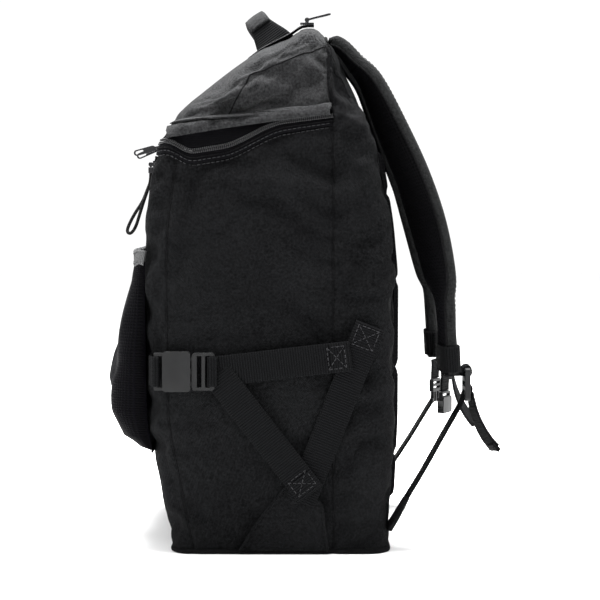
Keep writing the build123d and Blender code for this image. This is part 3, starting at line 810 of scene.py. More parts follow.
def make_pack():
    cloth = body_cloth(make_skins())
    let_out(cloth, 0.8, 0.035)
    subdivided(cloth)
    front_x = lambda z: section(z * 1000)[0] * MM
    seam_x = lambda z: crease(z * 1000) * MM
    corner = lambda z: section(z * 1000)[3] * MM
    is_front = lambda c: c.x < front_x(c.z) + corner(c.z) and c.x < 0 and c.z < 0.36
    is_rear = lambda c: c.x > seam_x(c.z)
    is_back = lambda c: is_rear(c) and abs(c.y) < min(0.112, (section(c.z * 1000)[2] * MM - corner(c.z)) + 0.0005)
    tests = {
        "front_panel": lambda c, r: r == 0 and is_front(c),
        "back_panel": lambda c, r: r == 0 and is_back(c),
        "side_panel_right": lambda c, r: r == 0 and not is_front(c) and not is_rear(c) and c.y < 0,
        "side_panel_left": lambda c, r: r == 0 and not is_front(c) and not is_rear(c) and c.y > 0,
        "rear_gusset_right": lambda c, r: r == 0 and is_rear(c) and not is_back(c) and c.y < 0,
        "rear_gusset_left": lambda c, r: r == 0 and is_rear(c) and not is_back(c) and c.y > 0,
    }
    cords = []
    for node, test in tests.items():
        panel = part_of(cloth, node + "_cloth", test)
        if not node.startswith("back"):
            cords += boundary_lines(panel)
        thickened(panel, 0.0018)
        settle(panel, "pack", "pack_fabric", node)
    pipes = [tube("pipe", line, 0.00055, 6) for line in cords if len(line) > 6]
    hinge_line = [surface(HINGE[1], s, f, sign, 0.3) for s, f, sign in columns(3, 4, False)]
    pipes.append(tube("hinge_seam", hinge_line, 0.0017))
    settle(joined("panel_seams", pipes), "pack", "piping")
    whole_lid = part_of(cloth, "lid_cloth", lambda c, r: r == 1)
    ridge = dict(point=LID_SEAM_TURN, normal=(-0.36, 0, 0.933))
    nose = dict(point=LID_SEAM_TURN, normal=(-0.885, 0, 0.467))
    crown = cut_by_plane(whole_lid, keep_above=True, name="lid_crown", **ridge)
    below = cut_by_plane(whole_lid, keep_above=False, name="lid_below", **ridge)
    slope = cut_by_plane(below, keep_above=True, name="lid_slope", **nose)
    walls = cut_by_plane(below, keep_above=False, name="lid_wall_cloth", **nose)
    bpy.data.objects.remove(below)
    top = joined("lid_top_cloth", [crown, slope], weld=True)
    lid_pipes = [tube("pipe", line, 0.0006, 6) for line in boundary_lines(walls) if len(line) > 6]
    on_lid(joined("lid_seams", lid_pipes), "piping")
    # the lid's panels take the lighter lid copy of the cordura, which has painted light in its colour
    on_lid(thickened(top, 0.0018), "lid_fabric", "lid_top_panel")
    on_lid(thickened(walls, 0.0018), "lid_fabric", "lid_side_left", "lid_side_right")
    bpy.data.objects.remove(whole_lid)
    bpy.data.objects.remove(cloth)
    make_base()


def make_base():
    """Base cloth with a welt round its edge."""
    row = columns(0, 4, True)
    rim = [surface(2.2, s, f, sign) for s, f, sign in row]
    welt = tube("base_welt", np.array([[p[0], p[1], 0.0022] for p in rim]), 0.0021, 8, closed=True)
    settle(welt, "pack", "piping")
    verts, uvs = [], []
    rings = np.linspace(1, 0, 9)
    for k in rings:
        for p in rim:
            verts.append((-0.016 + (p[0] + 0.016) * k, p[1] * k, 0.0006 + 0.0012 * k**6))
            uvs.append((verts[-1][0], verts[-1][1]))
    base = mesh_piece("base_cloth", verts, grid_faces(len(rings), len(row), True), uvs)
    settle(thickened(base, 0.0015, 1.0), "pack", "pack_fabric", "base_panel")


# ------------------------------------------------------------------ main zip
def zip_row(offset, out, count=150, hang=1.0):
    """A line round the pack beside the zip, at an offset along its height and out mm off the cloth."""
    line = []
    for segment, share, sign in columns(0, 2, False):
        z = 350.0
        for _ in range(5):
            x, y = outline_point(z, segment, share)
            z = zip_height(x, offset - hang * sag(x, y))
        line.append(surface(z, segment, share, sign, out))
    return curve_through(line, 0.0035)


def band(name, levels):
    """A strip through several zip rows, each an (offset, out, hang)."""
    lines = [zip_row(offset, out, hang=hang) for offset, out, hang in levels]
    count = min(len(line) for line in lines)
    verts, uvs = [], []
    for line in lines:
        runs = np.linspace(0, len(line) - 1, count)
        picked = np.array([[np.interp(r, range(len(line)), line[:, k]) for k in range(3)] for r in runs])
        run = np.r_[0, np.cumsum(np.linalg.norm(np.diff(picked, axis=0), axis=1))]
        for point, length in zip(picked, run):
            verts.append(point)
            uvs.append((length, point[2]))
    return mesh_piece(name, verts, grid_faces(len(lines), count, False), uvs)


def coil(name, offset, out, toward):
    """Row of zip teeth: small rounded blocks, each bent over the tape's edge."""
    line = zip_row(offset, out)
    runs = np.r_[0, np.cumsum(np.linalg.norm(np.diff(line, axis=0), axis=1))]
    shape = [(-0.45, -1.1), (0.45, -1.1), (0.5, 0.2), (0.28, 0.95), (-0.28, 0.95), (-0.5, 0.2)]
    verts, faces = [], []
    for at in np.arange(0.001, runs[-1], 0.0017):
        here = np.array([np.interp(at, runs, line[:, k]) for k in range(3)])
        ahead = np.array([np.interp(at + 0.001, runs, line[:, k]) for k in range(3)])
        along = ahead - here
        if np.linalg.norm(along) < 1e-7:
            continue
        along /= np.linalg.norm(along)
        up = np.array([0, 0, 1.0]) - along * along[2]
        up /= np.linalg.norm(up)
        outward = np.cross(up, along)
        base = len(verts)
        for lift, grow in ((-0.9, 1.0), (0.35, 1.0), (0.75, 0.7)):
            for a, b in shape:
                verts.append(here + MM * (along * a * grow * 1.1 + up * toward * b * grow + outward * -lift))
        for ring in range(2):
            for k in range(6):
                a, b = base + ring * 6 + k, base + ring * 6 + (k + 1) % 6
                faces.append((a, b, b + 6, a + 6))
        faces.append(tuple(base + 12 + k for k in range(6)))
    return mesh_piece(name, verts, faces, [(v[0], v[2]) for v in verts])


def make_main_zip():
    lower = band("lower_tape", [(-10.4, 0.6, 1), (-9.0, 0.9, 1), (-6, 0.1, 1), (-2.6, -0.2, 1), (-0.3, -0.4, 1)])
    settle(thickened(subdivided(lower), 0.0012), "pack", "zip_tape", "zip_track_lower")
    settle(coil("lower_coil", -1.0, 0.3, 1), "pack", "zip_tape", look="zip_coil")
    levels = [(10.4, 0.4, 0), (8.5, -0.6, 0), (6.0, -3.4, 0.3), (3.6, -3.0, 0.8), (0.3, -0.4, 1)]
    upper = band("upper_tape", levels)
    on_lid(thickened(subdivided(upper), 0.0012), "zip_tape", "zip_track_upper")
    on_lid(coil("upper_coil", 1.0, 0.3, -1), "zip_tape", look="zip_coil")
    ridge = tube("tape_ridge", zip_row(-5.4, 0.5), 0.0005, 6)
    settle(ridge, "pack", "piping")
    flaps = []
    for label, sign in SIDES:
        lines = []
        for offset, out in ((16.5, -0.6), (14.6, 2.2), (11.5, 3.0), (7.5, 3.0), (4.2, 2.6), (2.6, 2.2)):
            path = [p for p in zip_row(offset, out, hang=0) if p[1] * sign > 0 and -0.111 < p[0] < 0.0262]
            path = np.array(path if sign < 0 else path[::-1])
            runs = np.linspace(0, len(path) - 1, 60)
            lines.append(np.array([[np.interp(r, range(len(path)), path[:, k]) for k in range(3)] for r in runs]))
        verts = [p for line in lines for p in line]
        faces = grid_faces(len(lines), 60, False)
        flap = mesh_piece("flap", verts, faces, [(v[0], v[2]) for v in verts])
        flaps.append(thickened(flap, 0.0013, 0.0))
        flaps.append(tube("hem", lines[-1], 0.0009, 6))
    # the storm flaps are pack cordura drawn with the lid's lighter copy, which has painted light in its colour
    on_lid(joined("storm_flap_cloth", flaps), "pack_fabric", "storm_flaps", look="lid_fabric")
    rows = [stitches("row", zip_row(-11.8, 0.35), outward), stitches("row", zip_row(-8.0, 0.8), outward)]
    settle(joined("zip_stitching", rows), "pack", "thread")


def outward(point):
    """Rough direction out of the pack at a point."""
    if abs(point[1]) > 0.113:
        return (0, -1 if point[1] < 0 else 1, 0)
    return (-1 if point[0] < 0 else 1, 0, 0)


# ------------------------------------------------------------------ pieces that keep their CAD shape
def softened(node, body, slot, width=0.0004, windowed=False):
    """The CAD node's own shape with its hard edges rounded; faces with windows in them stay triangles."""
    piece = bpy.data.objects.new(node + "_finished", nodes[node].data.copy())
    bpy.context.scene.collection.objects.link(piece)
    work = bmesh.new()
    work.from_mesh(piece.data)
    bmesh.ops.remove_doubles(work, verts=work.verts[:], dist=0.00001)
    if not windowed:
        bmesh.ops.dissolve_limit(work, angle_limit=0.02, verts=work.verts[:], edges=work.edges[:])
    work.to_mesh(piece.data)
    work.free()
    made = piece.modifiers.new("bevel", "BEVEL")
    made.width = width
    made.segments = 3
    made.limit_method = "ANGLE"
    made.angle_limit = math.radians(35)
    made.harden_normals = False
    apply_modifiers(piece)
    for polygon in piece.data.polygons:
        polygon.use_smooth = True
    made = piece.modifiers.new("normals", "WEIGHTED_NORMAL")
    made.keep_sharp = True
    apply_modifiers(piece)
    return settle(piece, body, slot, node)


def make_hardware():
    for label, _ in SIDES:
        softened(f"main_slider_{label}", f"main_slider_{label}", "zip_metal", 0.0003)
        softened(f"main_pull_{label}", f"main_pull_{label}", "zip_metal", 0.0003)
        softened(f"buckle_socket_{label}", "pack", "buckle_plastic", 0.0007)
        softened(f"buckle_plug_{label}", f"harness_plug_{label}", "buckle_plastic", 0.0006)
        softened(f"buckle_arms_{label}", f"harness_plug_{label}", "buckle_plastic", 0.0005)
        softened(f"ladder_lock_{label}", f"strap_{label}", "buckle_plastic", 0.0006, windowed=True)
    softened("lid_slider", "lid", "zip_metal", 0.0003)
    softened("lid_pull", "lid_pull", "zip_metal", 0.0003)
    softened("front_slider", "front_slider", "zip_metal", 0.0003)
    softened("front_pull_crimp", "front_pull", "zip_metal", 0.0004)
    softened("sternum_socket", "sternum_half_right", "buckle_plastic", 0.0005)
    softened("sternum_plug", "sternum_half_left", "buckle_plastic", 0.0004)
    for node, slot in (("frame_sheet", "stiffener"), ("sleeve_divider", "lining")):
        nodes[node].data.materials.clear()
        nodes[node].data.materials.append(PALETTE["stiffener" if slot == "stiffener" else "lining"])


# ------------------------------------------------------------------ front pocket's pull cord
CORD = [
    (-126.4, -89.4, 317.5),
    (-126.4, -89.4, 311.5),
    (-129.8, -89.4, 303.5),
    (-133.6, -89.4, 293.5),
    (-140.5, -89.4, 283.5),
    (-146.0, -89.4, 273.0),
    (-147.2, -91.0, 267.5),
    (-143.6, -94.2, 266.0),
    (-139.4, -94.6, 271.5),
    (-136.0, -94.6, 282.5),
    (-132.4, -94.6, 294.0),
    (-128.6, -94.6, 304.5),
    (-126.4, -94.6, 311.5),
    (-126.4, -94.6, 317.5),
]


def make_cord():
    data = bpy.data.curves.new("pull_cord", "CURVE")
    data.dimensions = "3D"
    data.bevel_depth = 0.0014
    data.bevel_resolution = 4
    data.resolution_u = 10
    data.use_fill_caps = True
    spline = data.splines.new("NURBS")
    spline.points.add(len(CORD) - 1)
    for point, place in zip(spline.points, CORD):
        point.co = (*[c * MM for c in place], 1)
    spline.order_u = 3
    spline.use_endpoint_u = True
    piece = bpy.data.objects.new("pull_cord", data)
    bpy.context.scene.collection.objects.link(piece)
    data.materials.append(PALETTE["cord"])
    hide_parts("front_pull_cord")
    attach(piece, "front_pull")


# ------------------------------------------------------------------ pocket zips and handle
def flat_zip(name, points, half, body, slot, *replaced, swap=False):
    """Tape of a small straight zip, with its closed coil along the middle."""
    stations = [(np.array(p) * MM, (0, 0, 1) if swap else (0, 1, 0), half) for p in points]
    tape = ribbon(name, stations, 0.001)
    settle(tape, body, slot, *replaced)
    line = curve_through([np.array(p) * MM for p in points], 0.0012)
    lift = np.array([-0.0008, 0, 0]) if swap else np.array([-0.0003, 0, 0.0008])
    teeth = []
    for i, p in enumerate(line[:-1]):
        side = np.array([0, 0, 0.0011]) if swap else np.array([0, 0.0011, 0])
        teeth.append(tube("tooth", [p + lift - side, p + lift * 1.5, p + lift + side], 0.00045, 5))
    settle(joined(name + "_coil", teeth), body, slot, look="zip_coil")


def make_small_zips():
    front = [(section(325)[0] - 1.1, y, 325) for y in (-103, -50, 0, 50, 103)]
    flat_zip("front_zip_cloth", front, 0.0068, "pack", "zip_tape", "front_zip_tape", swap=True)
    ridge = [(-44, -66, 415.6), (-32, -66, 424.2), (-10, -66, 435.6), (2, -66, 443.2), (12, -66, 443.9)]
    flat_zip("lid_zip_cloth", ridge, 0.0078, "lid", "zip_tape", "lid_zip_tape")


def make_handle():
    """Arch of webbing with flared, sewn feet and a padded sleeve round its grip."""
    lean = math.radians(36)
    foot = np.array([-0.021, 0, 0.4285])
    out = np.array([-math.sin(lean), 0, math.cos(lean)])
    across = np.array([math.cos(lean), 0, math.sin(lean)])
    slope = np.array([0.894, 0, 0.447])
    arch = [
        (-0.058, 0.0008, 0.0175, slope),
        (-0.0520, 0.0018, 0.0170, slope),
        (-0.0478, 0.0080, 0.0150, across),
        (-0.0440, 0.0155, 0.0122, across),
        (-0.0400, 0.0230, 0.0096, across),
        (-0.0345, 0.0280, 0.0086, across),
        (-0.0270, 0.0308, 0.0082, across),
        (0.0, 0.0318, 0.0082, across),
    ]
    arch = arch + [(-y, up, half, way) for y, up, half, way in arch[-2::-1]]
    stations = [(foot + out * up + np.array([0, y, 0]), way, half) for y, up, half, way in arch]
    strap = ribbon("handle_strap", stations, 0.0026, 0.0022)
    settle(strap, "lid", "webbing", "handle_webbing", "handle_feet")
    inner = [(p - out * 0.0022, way, half * 0.93) for p, way, half in stations[3:-3]]
    settle(ribbon("handle_lining", inner, 0.0014, 0.0022), "lid", "webbing")
    half_arch = [(-0.0415, 0.0212), (-0.0375, 0.0266), (-0.0320, 0.0300), (-0.0240, 0.0316), (-0.0120, 0.0322)]
    arch_line = half_arch + [(0.0, 0.0323)] + [(-y, up) for y, up in half_arch[::-1]]
    sleeve = [(foot + out * up + np.array([0, y, 0]), across, 0.0098) for y, up in arch_line]
    grip = ribbon("handle_sleeve", sleeve, 0.0046, 0.002, bulge=0.0008)
    # the sleeve takes the lid's lighter copy of the cordura, which has painted light in its colour
    settle(grip, "lid", "webbing", "handle_grip", look="lid_fabric")
    seams = []
    for sign in (-1, 1):
        for shift in (-0.0125, 0.0125):
            line = [foot + slope * (shift * k) + np.array([0, sign * 0.054, 0]) + out * 0.0031 for k in (1, 0.2)]
            seams.append(stitches("row", line, out))
    settle(joined("handle_stitching", seams), "lid", "thread")


# ------------------------------------------------------------------ mesh pocket
def pocket_point(s, t, out=0.0):
    """Point of the pocket: s runs from the binding (0) to the bottom seam (1), t across from -1 to 1."""
    profile = np.array([(-138.5, 243), (-143, 225), (-152, 195), (-161, 165), (-166.2, 142), (-163, 118), (-152, 97),
                        (-136, 88), (-122, 85)], float)
    where = np.linspace(0, 1, len(profile))
    x = np.interp(s, where, profile[:, 0])
    z = np.interp(s, where, profile[:, 1])
    front = section(z)[0]
    edge = max(0.0, (abs(t) - 0.80) / 0.20)
    shell = math.sqrt(max(0.0, 1 - edge**2.2))
    belly = 1.0 - 0.22 * (t * t) * math.sin(math.pi * min(1, s * 1.1)) ** 2
    gather = math.exp(-s * 3.4) * 0.6 + 0.5 * math.exp(-((s - 0.97) / 0.1) ** 2)
    pleat = math.sin(t * 46 + 1.3 * math.sin(t * 9)) * gather + 0.5 * math.sin(t * 17 + s * 7) * (1 - s)
    crumple = 2.6 * math.sin(t * 8 + s * 11) * math.sin(s * 8 + t * 2) * math.sin(math.pi * s)
    crumple -= 1.8 * abs(math.sin(t * 6 - s * 7)) ** 6 * math.sin(math.pi * s)
    depth = max(0.5, (front - x) * belly * shell + (pleat + crumple) * shell)
    return np.array([(front - depth - out) * MM, t * 131.5 * MM, z * MM - 0.002 * math.sin(t * 15) * s * (1 - s)])


def make_pocket():
    across, down = 240, 60
    verts, uvs = [], []
    for j in range(down + 1):
        for i in range(across + 1):
            s, t = j / down, -1 + 2 * i / across
            verts.append(pocket_point(s, t))
            uvs.append((t * 0.15, s * 0.19))
    net = mesh_piece("pocket_net", verts, grid_faces(down + 1, across + 1, False), uvs)
    net = thickened(net, 0.0006, 0.0)
    settle(net, "pack", "pocket_mesh", "mesh_pocket")
    rim = [pocket_point(0.0, t) for t in np.linspace(-1, 1, 220)]
    rim = [np.array([p[0], p[1], 0.2465 + 0.0012 * math.sin(i * 0.5)]) for i, p in enumerate(rim)]
    stations = [(p, (0, 0, 1), 0.0062) for p in rim]
    binding = ribbon("pocket_edge", stations, 0.0026, 0.0022)
    settle(binding, "pack", "binding", "pocket_binding")
    rows = [stitches("row", [p + np.array([-0.0015, 0, dz]) for p in rim], (-1, 0, 0)) for dz in (-0.0042, 0.0042)]
    settle(joined("pocket_stitching", rows), "pack", "thread")
    hem = [pocket_point(1.0, t, 0.6) for t in np.linspace(-1, 1, 120)]
    settle(tube("pocket_seam", hem, 0.0011, 6), "pack", "piping")


# ------------------------------------------------------------------ side harness
def side_half(x, z):
    """Half width of the pack at a point of its side, corners included, in mm."""
    front, back, half, r = section(z)
    over = max(0.0, x - (back - r), (front + r) - x)
    return half - r + math.sqrt(max(0.0, r * r - min(over, r) ** 2))


def side_strap(name, start, end, off, half, sign, body, slot, *replaced, ends=None, wave=0.5):
    """A strap that lies over the side of the pack, off mm out, from one X, Z point to another."""
    run = np.array([end[0] - start[0], 0, end[1] - start[1]], float)
    run /= np.linalg.norm(run)
    across = np.array([-run[2], 0, run[0]])
    stations = []
    for t in np.linspace(0, 1, 9):
        x, z = start[0] + t * (end[0] - start[0]), start[1] + t * (end[1] - start[1])
        lift = off if ends is None else np.interp(t, (0, 0.14, 1), (ends[0], off, ends[1]))
        y = side_half(x, z) + lift + wave * math.sin(math.pi * 3 * t + start[0])
        stations.append((np.array([x, sign * y, z]) * MM, across, half * MM))
    strap = ribbon(name, stations, 0.0018, 0.004)
    return settle(strap, body, slot, *replaced) if body else strap


def box_stitch(centre, run, sign, half_long, half_wide):
    """A sewn box with a cross in it, lying in the plane of the side."""
    run = np.array([run[0], 0, run[1]], float) / math.hypot(*run)
    across = np.array([-run[2], 0, run[0]])
    corners = [centre + run * a * half_long + across * b * half_wide for a, b in ((-1, -1), (1, -1), (1, 1), (-1, 1))]
    rows = [(corners[k], corners[(k + 1) % 4]) for k in range(4)] + [(corners[0], corners[2]), (corners[1], corners[3])]
    return [stitches("row", [np.array(a), np.array(b)], (0, sign, 0)) for a, b in rows]


def make_harness():
    cradles, ankles, tabs, sewing, folds = [], [], [], [], []
    for label, sign in SIDES:
        cradles += cradle_pieces(sign)
        ankle = side_strap("ankle", (0, 44), (58, 192), 4.0, 12.5, sign, None, None)
        ankles.append(ankle)
        top = np.array([54, sign * (side_half(54, 181) + 5.2), 181.5]) * MM
        sewing += box_stitch(top, (58, 148), sign, 0.0085, 0.009)
        end_bar = (-69.5, 154)
        for leg, target, level, tip in (("upper", (42, 167), 6.4, 7.0), ("lower", (9, 52), 8.5, 8.6)):
            strap = side_strap(
                f"v_strap_{leg}_{label}_webbing", end_bar, target, level, 12.5, sign, None, None, ends=(6.3, tip)
            )
            settle(strap, None, "webbing", f"v_strap_{leg}_{label}")
            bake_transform(strap)
            run = (target[0] - end_bar[0], target[1] - end_bar[1])
            back = np.array([target[0], 0, target[1]]) - np.array([run[0], 0, run[1]]) / math.hypot(*run) * 12
            y = side_half(back[0], back[2]) + tip + 1.1
            centre = np.array([back[0], sign * y, back[2]]) * MM
            sewing += box_stitch(centre + np.array([0, sign * 0.0012, 0]), run, sign, 0.0072, 0.009)
            fold = [np.array([target[0], 0, target[1]]) - np.array([run[0], 0, run[1]]) / math.hypot(*run) * d
                    for d in (0.6, 8, 17)]
            across = np.array([-run[1], 0, run[0]]) / math.hypot(*run)
            stations = [
                (np.array([p[0], sign * (side_half(p[0], p[2]) + tip + 1.5), p[2]]) * MM, across, 0.0122) for p in fold
            ]
            folds.append(ribbon("fold", stations, 0.0014))
        loop = [(-69.3, 149.6), (-69.0, 154.2), (-72.1, 154.6), (-75.1, 154.0), (-75.3, 149.8), (-75.0, 146.2),
                (-72.0, 145.7), (-69.2, 146.2)]
        stations = [(np.array([x, sign * y, 154]) * MM, (0, 0, 1), 0.0124) for x, y in loop]
        settle(ribbon(f"v_loop_{label}", stations, 0.0016, 0.0015), f"harness_plug_{label}", "webbing")
        tab = [(-124, 131), (-124.5, 139), (-121.8, 147), (-121.6, 152), (-118.6, 154.2), (-116.2, 152), (-116.3, 147.5),
               (-119.2, 143.5), (-120.5, 137)]
        stations = [(np.array([x, sign * y, 154]) * MM, (0, 0, 1), 0.0124) for x, y in tab]
        tabs.append(ribbon("tab", stations, 0.0015, 0.002))
    settle(joined("heel_cradle_cloth", cradles), "pack", "pack_fabric", "heel_cradles")
    settle(joined("ankle_webbing", ankles), "pack", "webbing", "ankle_straps")
    settle(joined("buckle_tab_webbing", tabs), "pack", "webbing", "buckle_tabs")
    settle(joined("harness_stitching", sewing), "pack", "thread")
    settle(joined("v_strap_folds", folds), "pack", "webbing")


def cradle_pieces(sign):
    """Fabric patch of the heel cradle and its bound edge."""
    top = [(-50, 3), (-36, 26), (-22, 44), (-9, 58), (3, 51), (17, 43), (20, 24), (23, 3)]
    rows, count = 14, 24
    left = curve_through([(x, z, 0) for x, z in top[:4]], 3)
    right = curve_through([(x, z, 0) for x, z in top[:3:-1]] + [(3, 51, 0)], 3)
    verts, uvs = [], []
    for j in range(rows + 1):
        v = j / rows
        a = np.array([np.interp(v, np.linspace(0, 1, len(left)), left[:, k]) for k in (0, 1)])
        b = np.array([np.interp(v, np.linspace(0, 1, len(right)), right[:, k]) for k in (0, 1)])
        for i in range(count + 1):
            x, z = a + (b - a) * i / count
            puff = 1.5 * math.sin(math.pi * i / count) * math.sin(math.pi * v) + 0.5 * math.sin(x * 0.4 + z * 0.2)
            verts.append(np.array([x, sign * (side_half(x, z) + 2.2 + puff), z]) * MM)
            uvs.append((x * MM, z * MM))
    patch = mesh_piece("patch", verts, grid_faces(rows + 1, count + 1, False), uvs)
    patch = thickened(patch, 0.0016, 0.0)
    edge = [np.array([x, sign * (side_half(x, z) + 2.6), z]) * MM for x, z, _ in curve_through([(x, z, 0) for x, z in top], 3)]
    return [patch, tube("hem", edge, 0.0014, 8)]


# ------------------------------------------------------------------ shoulder straps
# Middle of the right strap as in the CAD model: X, distance from the middle, Z, width, twist in degrees
STRAP = [
    (24.5, 57, 431.5, 50, 0),
    (35, 58, 427.0, 56, 0),
    (47, 60, 413.5, 60, 3),
    (62, 64, 395, 64, 8),
    (80, 70, 356, 66, 13),
    (97, 77, 314, 66, 17),
    (110, 84, 272, 64, 19),
    (119.5, 90, 230, 60, 15),
    (123.5, 93.2, 204, 52, 4),
    (126.8, 95, 148.4, 51, 4),
]


def strap_frames(sign):
    """Dense stations along a strap: middle, across, out of its face, half width and the run so far."""
    line = curve_through([np.array(p, float) for p in STRAP], 1.0)
    frames, run = [], 0.0
    for i, row in enumerate(line):
        ahead, behind = line[min(i + 1, len(line) - 1)], line[max(i - 1, 0)]
        along = np.array([ahead[0] - behind[0], 0, ahead[2] - behind[2]])
        along /= np.linalg.norm(along)
        face = np.array([-along[2], 0, along[0]])
        angle = math.radians(row[4])
        across = np.array([0, math.cos(angle), 0]) - face * math.sin(angle)
        normal = np.cross(across, along)
        normal *= 1 if normal.dot(face) > 0 else -1
        flip = np.array([1, -sign, 1])
        middle = np.array([row[0], -row[1], row[2]]) * flip
        run += 0 if i == 0 else np.linalg.norm(line[i][:3] - line[i - 1][:3])
        frames.append((middle * MM, across * flip, normal * flip, row[3] / 2 * MM, run * MM))
    return frames


def strap_skin(name, frames, outer):
    """One face of a padded strap. The outer cloth wraps round both edges to the piping of the mesh liner."""
    wrap = [(-0.965, -3.7), (-0.99, -2.6), (-1.0, -0.6), (-0.995, 1.6), (-0.97, 3.4), (-0.91, 4.8), (-0.8, 5.5)]
    wrap += [(f, 5.6 + 0.4 * (1 - f * f)) for f in np.linspace(-0.65, 0, 7)]
    wrap += [(-f, height) for f, height in wrap[-2::-1]]
    liner = [(f, 0.0) for f in np.linspace(-0.965, 0.965, 27)]
    verts, uvs = [], []
    for middle, across, out, half, run in frames:
        full = min(1.0, math.sqrt(max(0.1, run / 0.006)))
        for f, height in wrap if outer else liner:
            if not outer:
                crown = (1 - (abs(f) / 0.965) ** 2.6) ** 0.6 if abs(f) < 0.965 else 0.0
                ribs = 0.42 * math.sin((run * 1000 + f * half * 900) / 4.2 * 2 * math.pi)
                belly = 5.0 * math.sin(math.pi * min(1.0, max(0.0, (run - 0.008) / 0.19))) ** 2
                height = -(3.7 + (2.0 + belly + ribs) * crown)
            ripple = 0.25 * math.sin(run * 180 + f * 2) if outer and height > 5 else 0.0
            verts.append(middle + across * half * 0.985 * f + out * (height + ripple) * full * MM)
            uvs.append((run, f * half))
    count = len(wrap) if outer else len(liner)
    return mesh_piece(name, verts, grid_faces(len(frames), count, False), uvs)


def make_straps():
    for label, sign in SIDES:
        body = f"strap_{label}"
        frames = strap_frames(sign)
        face = settle(strap_skin(f"strap_face_{label}", frames, True), body, "pad_mesh", look="strap_fabric")
        liner = strap_skin(f"strap_liner_{label}", frames, False)
        settle(liner, body, "pad_mesh", f"shoulder_strap_{label}")
        edges = []
        for way in (-1, 1):
            line = [m + a * h * way * 0.955 - o * 0.0038 for m, a, o, h, _ in frames[3::3]]
            edges.append(tube("edge", line, 0.0011, 8))
        m, a, o, h, _ = frames[-1]
        line = [(m + a * h * f, o, 0.0048) for f in (-0.96, -0.5, 0, 0.5, 0.96)]
        edges.append(ribbon("edge", line, 0.0012, 0.004))
        settle(joined(f"strap_binding_{label}", edges), body, "webbing", look="piping")
        rows = []
        for way in (-1, 1):
            line = [m + a * h * way * 0.8 + o * 0.0056 for m, a, o, h, _ in frames[15:-5:3] if m[2] > 0.196]
            rows.append(stitches("row", line, frames[len(frames) // 2][2], radius=0.00028))
        settle(joined(f"strap_stitching_{label}", rows), body, "thread")
        make_strap_end(label, sign, body)
        make_keeper(label, sign, frames)


def make_strap_end(label, sign, body):
    """Lock loop, free tail and lower webbing."""
    x, y, z = 141.5, 96.0, 139.2
    point = lambda a, b, c: np.array([a, sign * b, c]) * MM
    loop = [(122, 146.8), (130, 146.8), (137.0, 146.9), (140, 147.0), (144.4, 147.2), (144.9, 150.8), (143.6, 154.2),
            (140.6, 154.2), (138.2, 152.4), (137.9, 149.4), (136.0, 148.0)]
    holder = ribbon("holder", [(point(a, y, c), (0, 1, 0), 0.0108) for a, c in loop], 0.0013, 0.0015)
    tail = [(143.8, y, 133.0), (145.4, y, 131.4), (145.8, y, 126), (148.4, y + 0.5, 114.5), (153.2, y + 1, 102.5),
            (159.3, y + 2, 92), (165.6, y + 3, 84.2)]
    tail_strap = ribbon("tail", [(point(*p), (0.06 * i, sign, 0.02 * i), 0.0124) for i, p in enumerate(tail)], 0.0018)
    fold = [(165.6, y + 3, 84.2), (166.8, y + 3.2, 82.9), (165.6, y + 3.3, 82.4), (161.6, y + 3, 87.0)]
    hem = ribbon("hem", [(point(*p), (0.2, sign, 0.1), 0.0124) for p in fold], 0.0017, 0.0015)
    wrap = [(138.6, y, 128), (139.4, y, 131), (144.0, y, 132.4), (145.3, y, 135.4), (144.0, y, 138.4), (139.6, y, 139.4)]
    woven = ribbon("woven", [(point(*p), (0, 1, 0), 0.0122) for p in wrap], 0.0016, 0.0015)
    settle(joined(f"tail_webbing_{label}", [holder, tail_strap, hem, woven]), body, "webbing", f"strap_tail_{label}")
    line = [(90, 112, 44), (105, 107, 68), (121, 101.7, 95.5), (136.6, 96.5, 122), (138.4, 96, 128)]
    web = ribbon(f"lower_webbing_{label}", [(point(*p), (0, 1, 0), 0.0125) for p in line], 0.0018)
    settle(web, None, "webbing", f"strap_web_{label}")
    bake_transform(web)


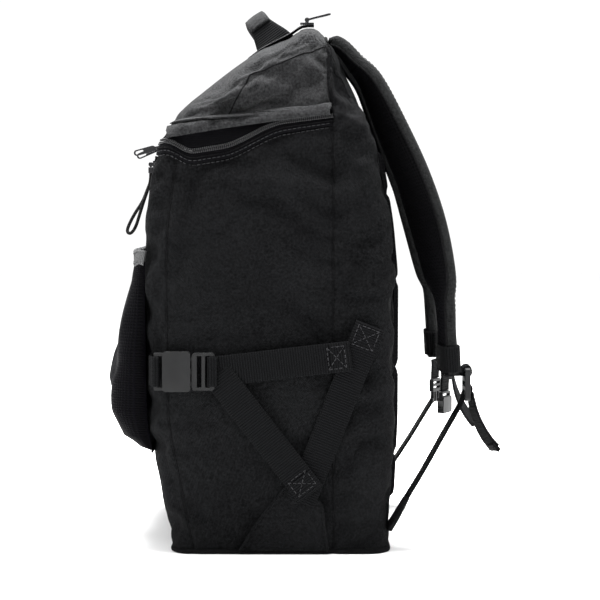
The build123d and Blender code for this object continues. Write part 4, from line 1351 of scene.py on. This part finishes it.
def make_keeper(label, sign, frames):
    """Webbing keeper round the strap, its bail, and the hanging half of the sternum strap."""
    m, across, out, half, _ = min(frames, key=lambda f: abs(f[0][2] - 0.1615))
    along = np.cross(across, out)
    ring = []
    for k in range(28):
        angle = 2 * math.pi * k / 28
        c, s = math.cos(angle), math.sin(angle)
        w = math.copysign(abs(c) ** 0.45, c) * (half + 0.0016)
        t = math.copysign(abs(s) ** 0.6, s) * 0.0076
        ring.append((m + across * w + out * t, along, 0.011))
    ring.append(ring[0])
    band_piece = ribbon("keeper_band", ring, 0.0013, 0.002)
    bail_at = m + np.array([0, -sign * (half + 0.0058), 0])
    pts = [bail_at + np.array([0, -sign * w, v]) * 1.0 for w, v in ((-0.0022, 0.0095), (0.0026, 0.0095), (0.0026, -0.0095),
                                                                   (-0.0022, -0.0095))]
    bail = tube("bail", curve_through([pts[0], pts[1], pts[2], pts[3], pts[0]], 0.0012), 0.0013, 8)
    keeper = joined(f"keeper_webbing_{label}", [band_piece, bail])
    settle(keeper, f"keeper_{label}", "webbing", f"sternum_keeper_{label}")
    turn = math.radians(65)
    way = (math.cos(turn), math.sin(turn), 0)
    line = [(126, 59, 147.2), (126.4, 59, 142), (126, 59, 134), (126, 59, 129.0)]
    web = ribbon(f"sternum_webbing_{label}", [(np.array([a, sign * b, c]) * MM, way, 0.009) for a, b, c in line], 0.0016)
    settle(web, f"sternum_half_{label}", "webbing", f"sternum_web_{label}")


def make_wings():
    wings = []
    for label, sign in SIDES:
        line = [(73.5, 117.4, 17, 20), (81, 115, 28.5, 18), (90, 112, 44, 14.2)]
        stations = [(np.array([x, sign * y, z]) * MM, (0, 1, 0), half * MM) for x, y, z, half in line]
        wings.append(ribbon("wing", stations, 0.0024, 0.003))
    settle(joined("wing_cloth", wings), "pack", "pack_fabric", "strap_wings")


def make_back_pads():
    """Two foam pads with quilted channels."""
    pads = []
    for label, sign in SIDES:
        verts, uvs = [], []
        rows, count = 90, 30
        for j in range(rows + 1):
            z = 42 + (336 - 42) * j / rows
            back = section(z)[1]
            for i in range(count + 1):
                f = i / count
                edge = min(1.0, min(f, 1 - f) * 84 / 9, (j + 0.01) * 3.3 / 9, (rows - j + 0.01) * 3.3 / 9)
                channel = 1 - 0.5 * math.exp(-(((z - 42) % 74 - 37) / 3.2) ** 2)
                height = 0.3 + 4.4 * math.sqrt(max(0, 1 - (1 - edge) ** 2)) * channel
                verts.append(np.array([back + height, sign * (16.5 + 83 * f), z]) * MM)
                uvs.append((f * 0.084, z * MM))
        pads.append(mesh_piece("pad", verts, grid_faces(rows + 1, count + 1, False), uvs))
    pad = joined("back_pad_cloth", pads)
    settle(pad, "pack", "pad_mesh", "back_pads")


# ------------------------------------------------------------------ build
make_palette()
make_stage()
make_cord()
make_pack()
make_main_zip()
make_hardware()
make_small_zips()
make_handle()
make_pocket()
make_harness()
make_straps()
make_wings()
make_back_pads()
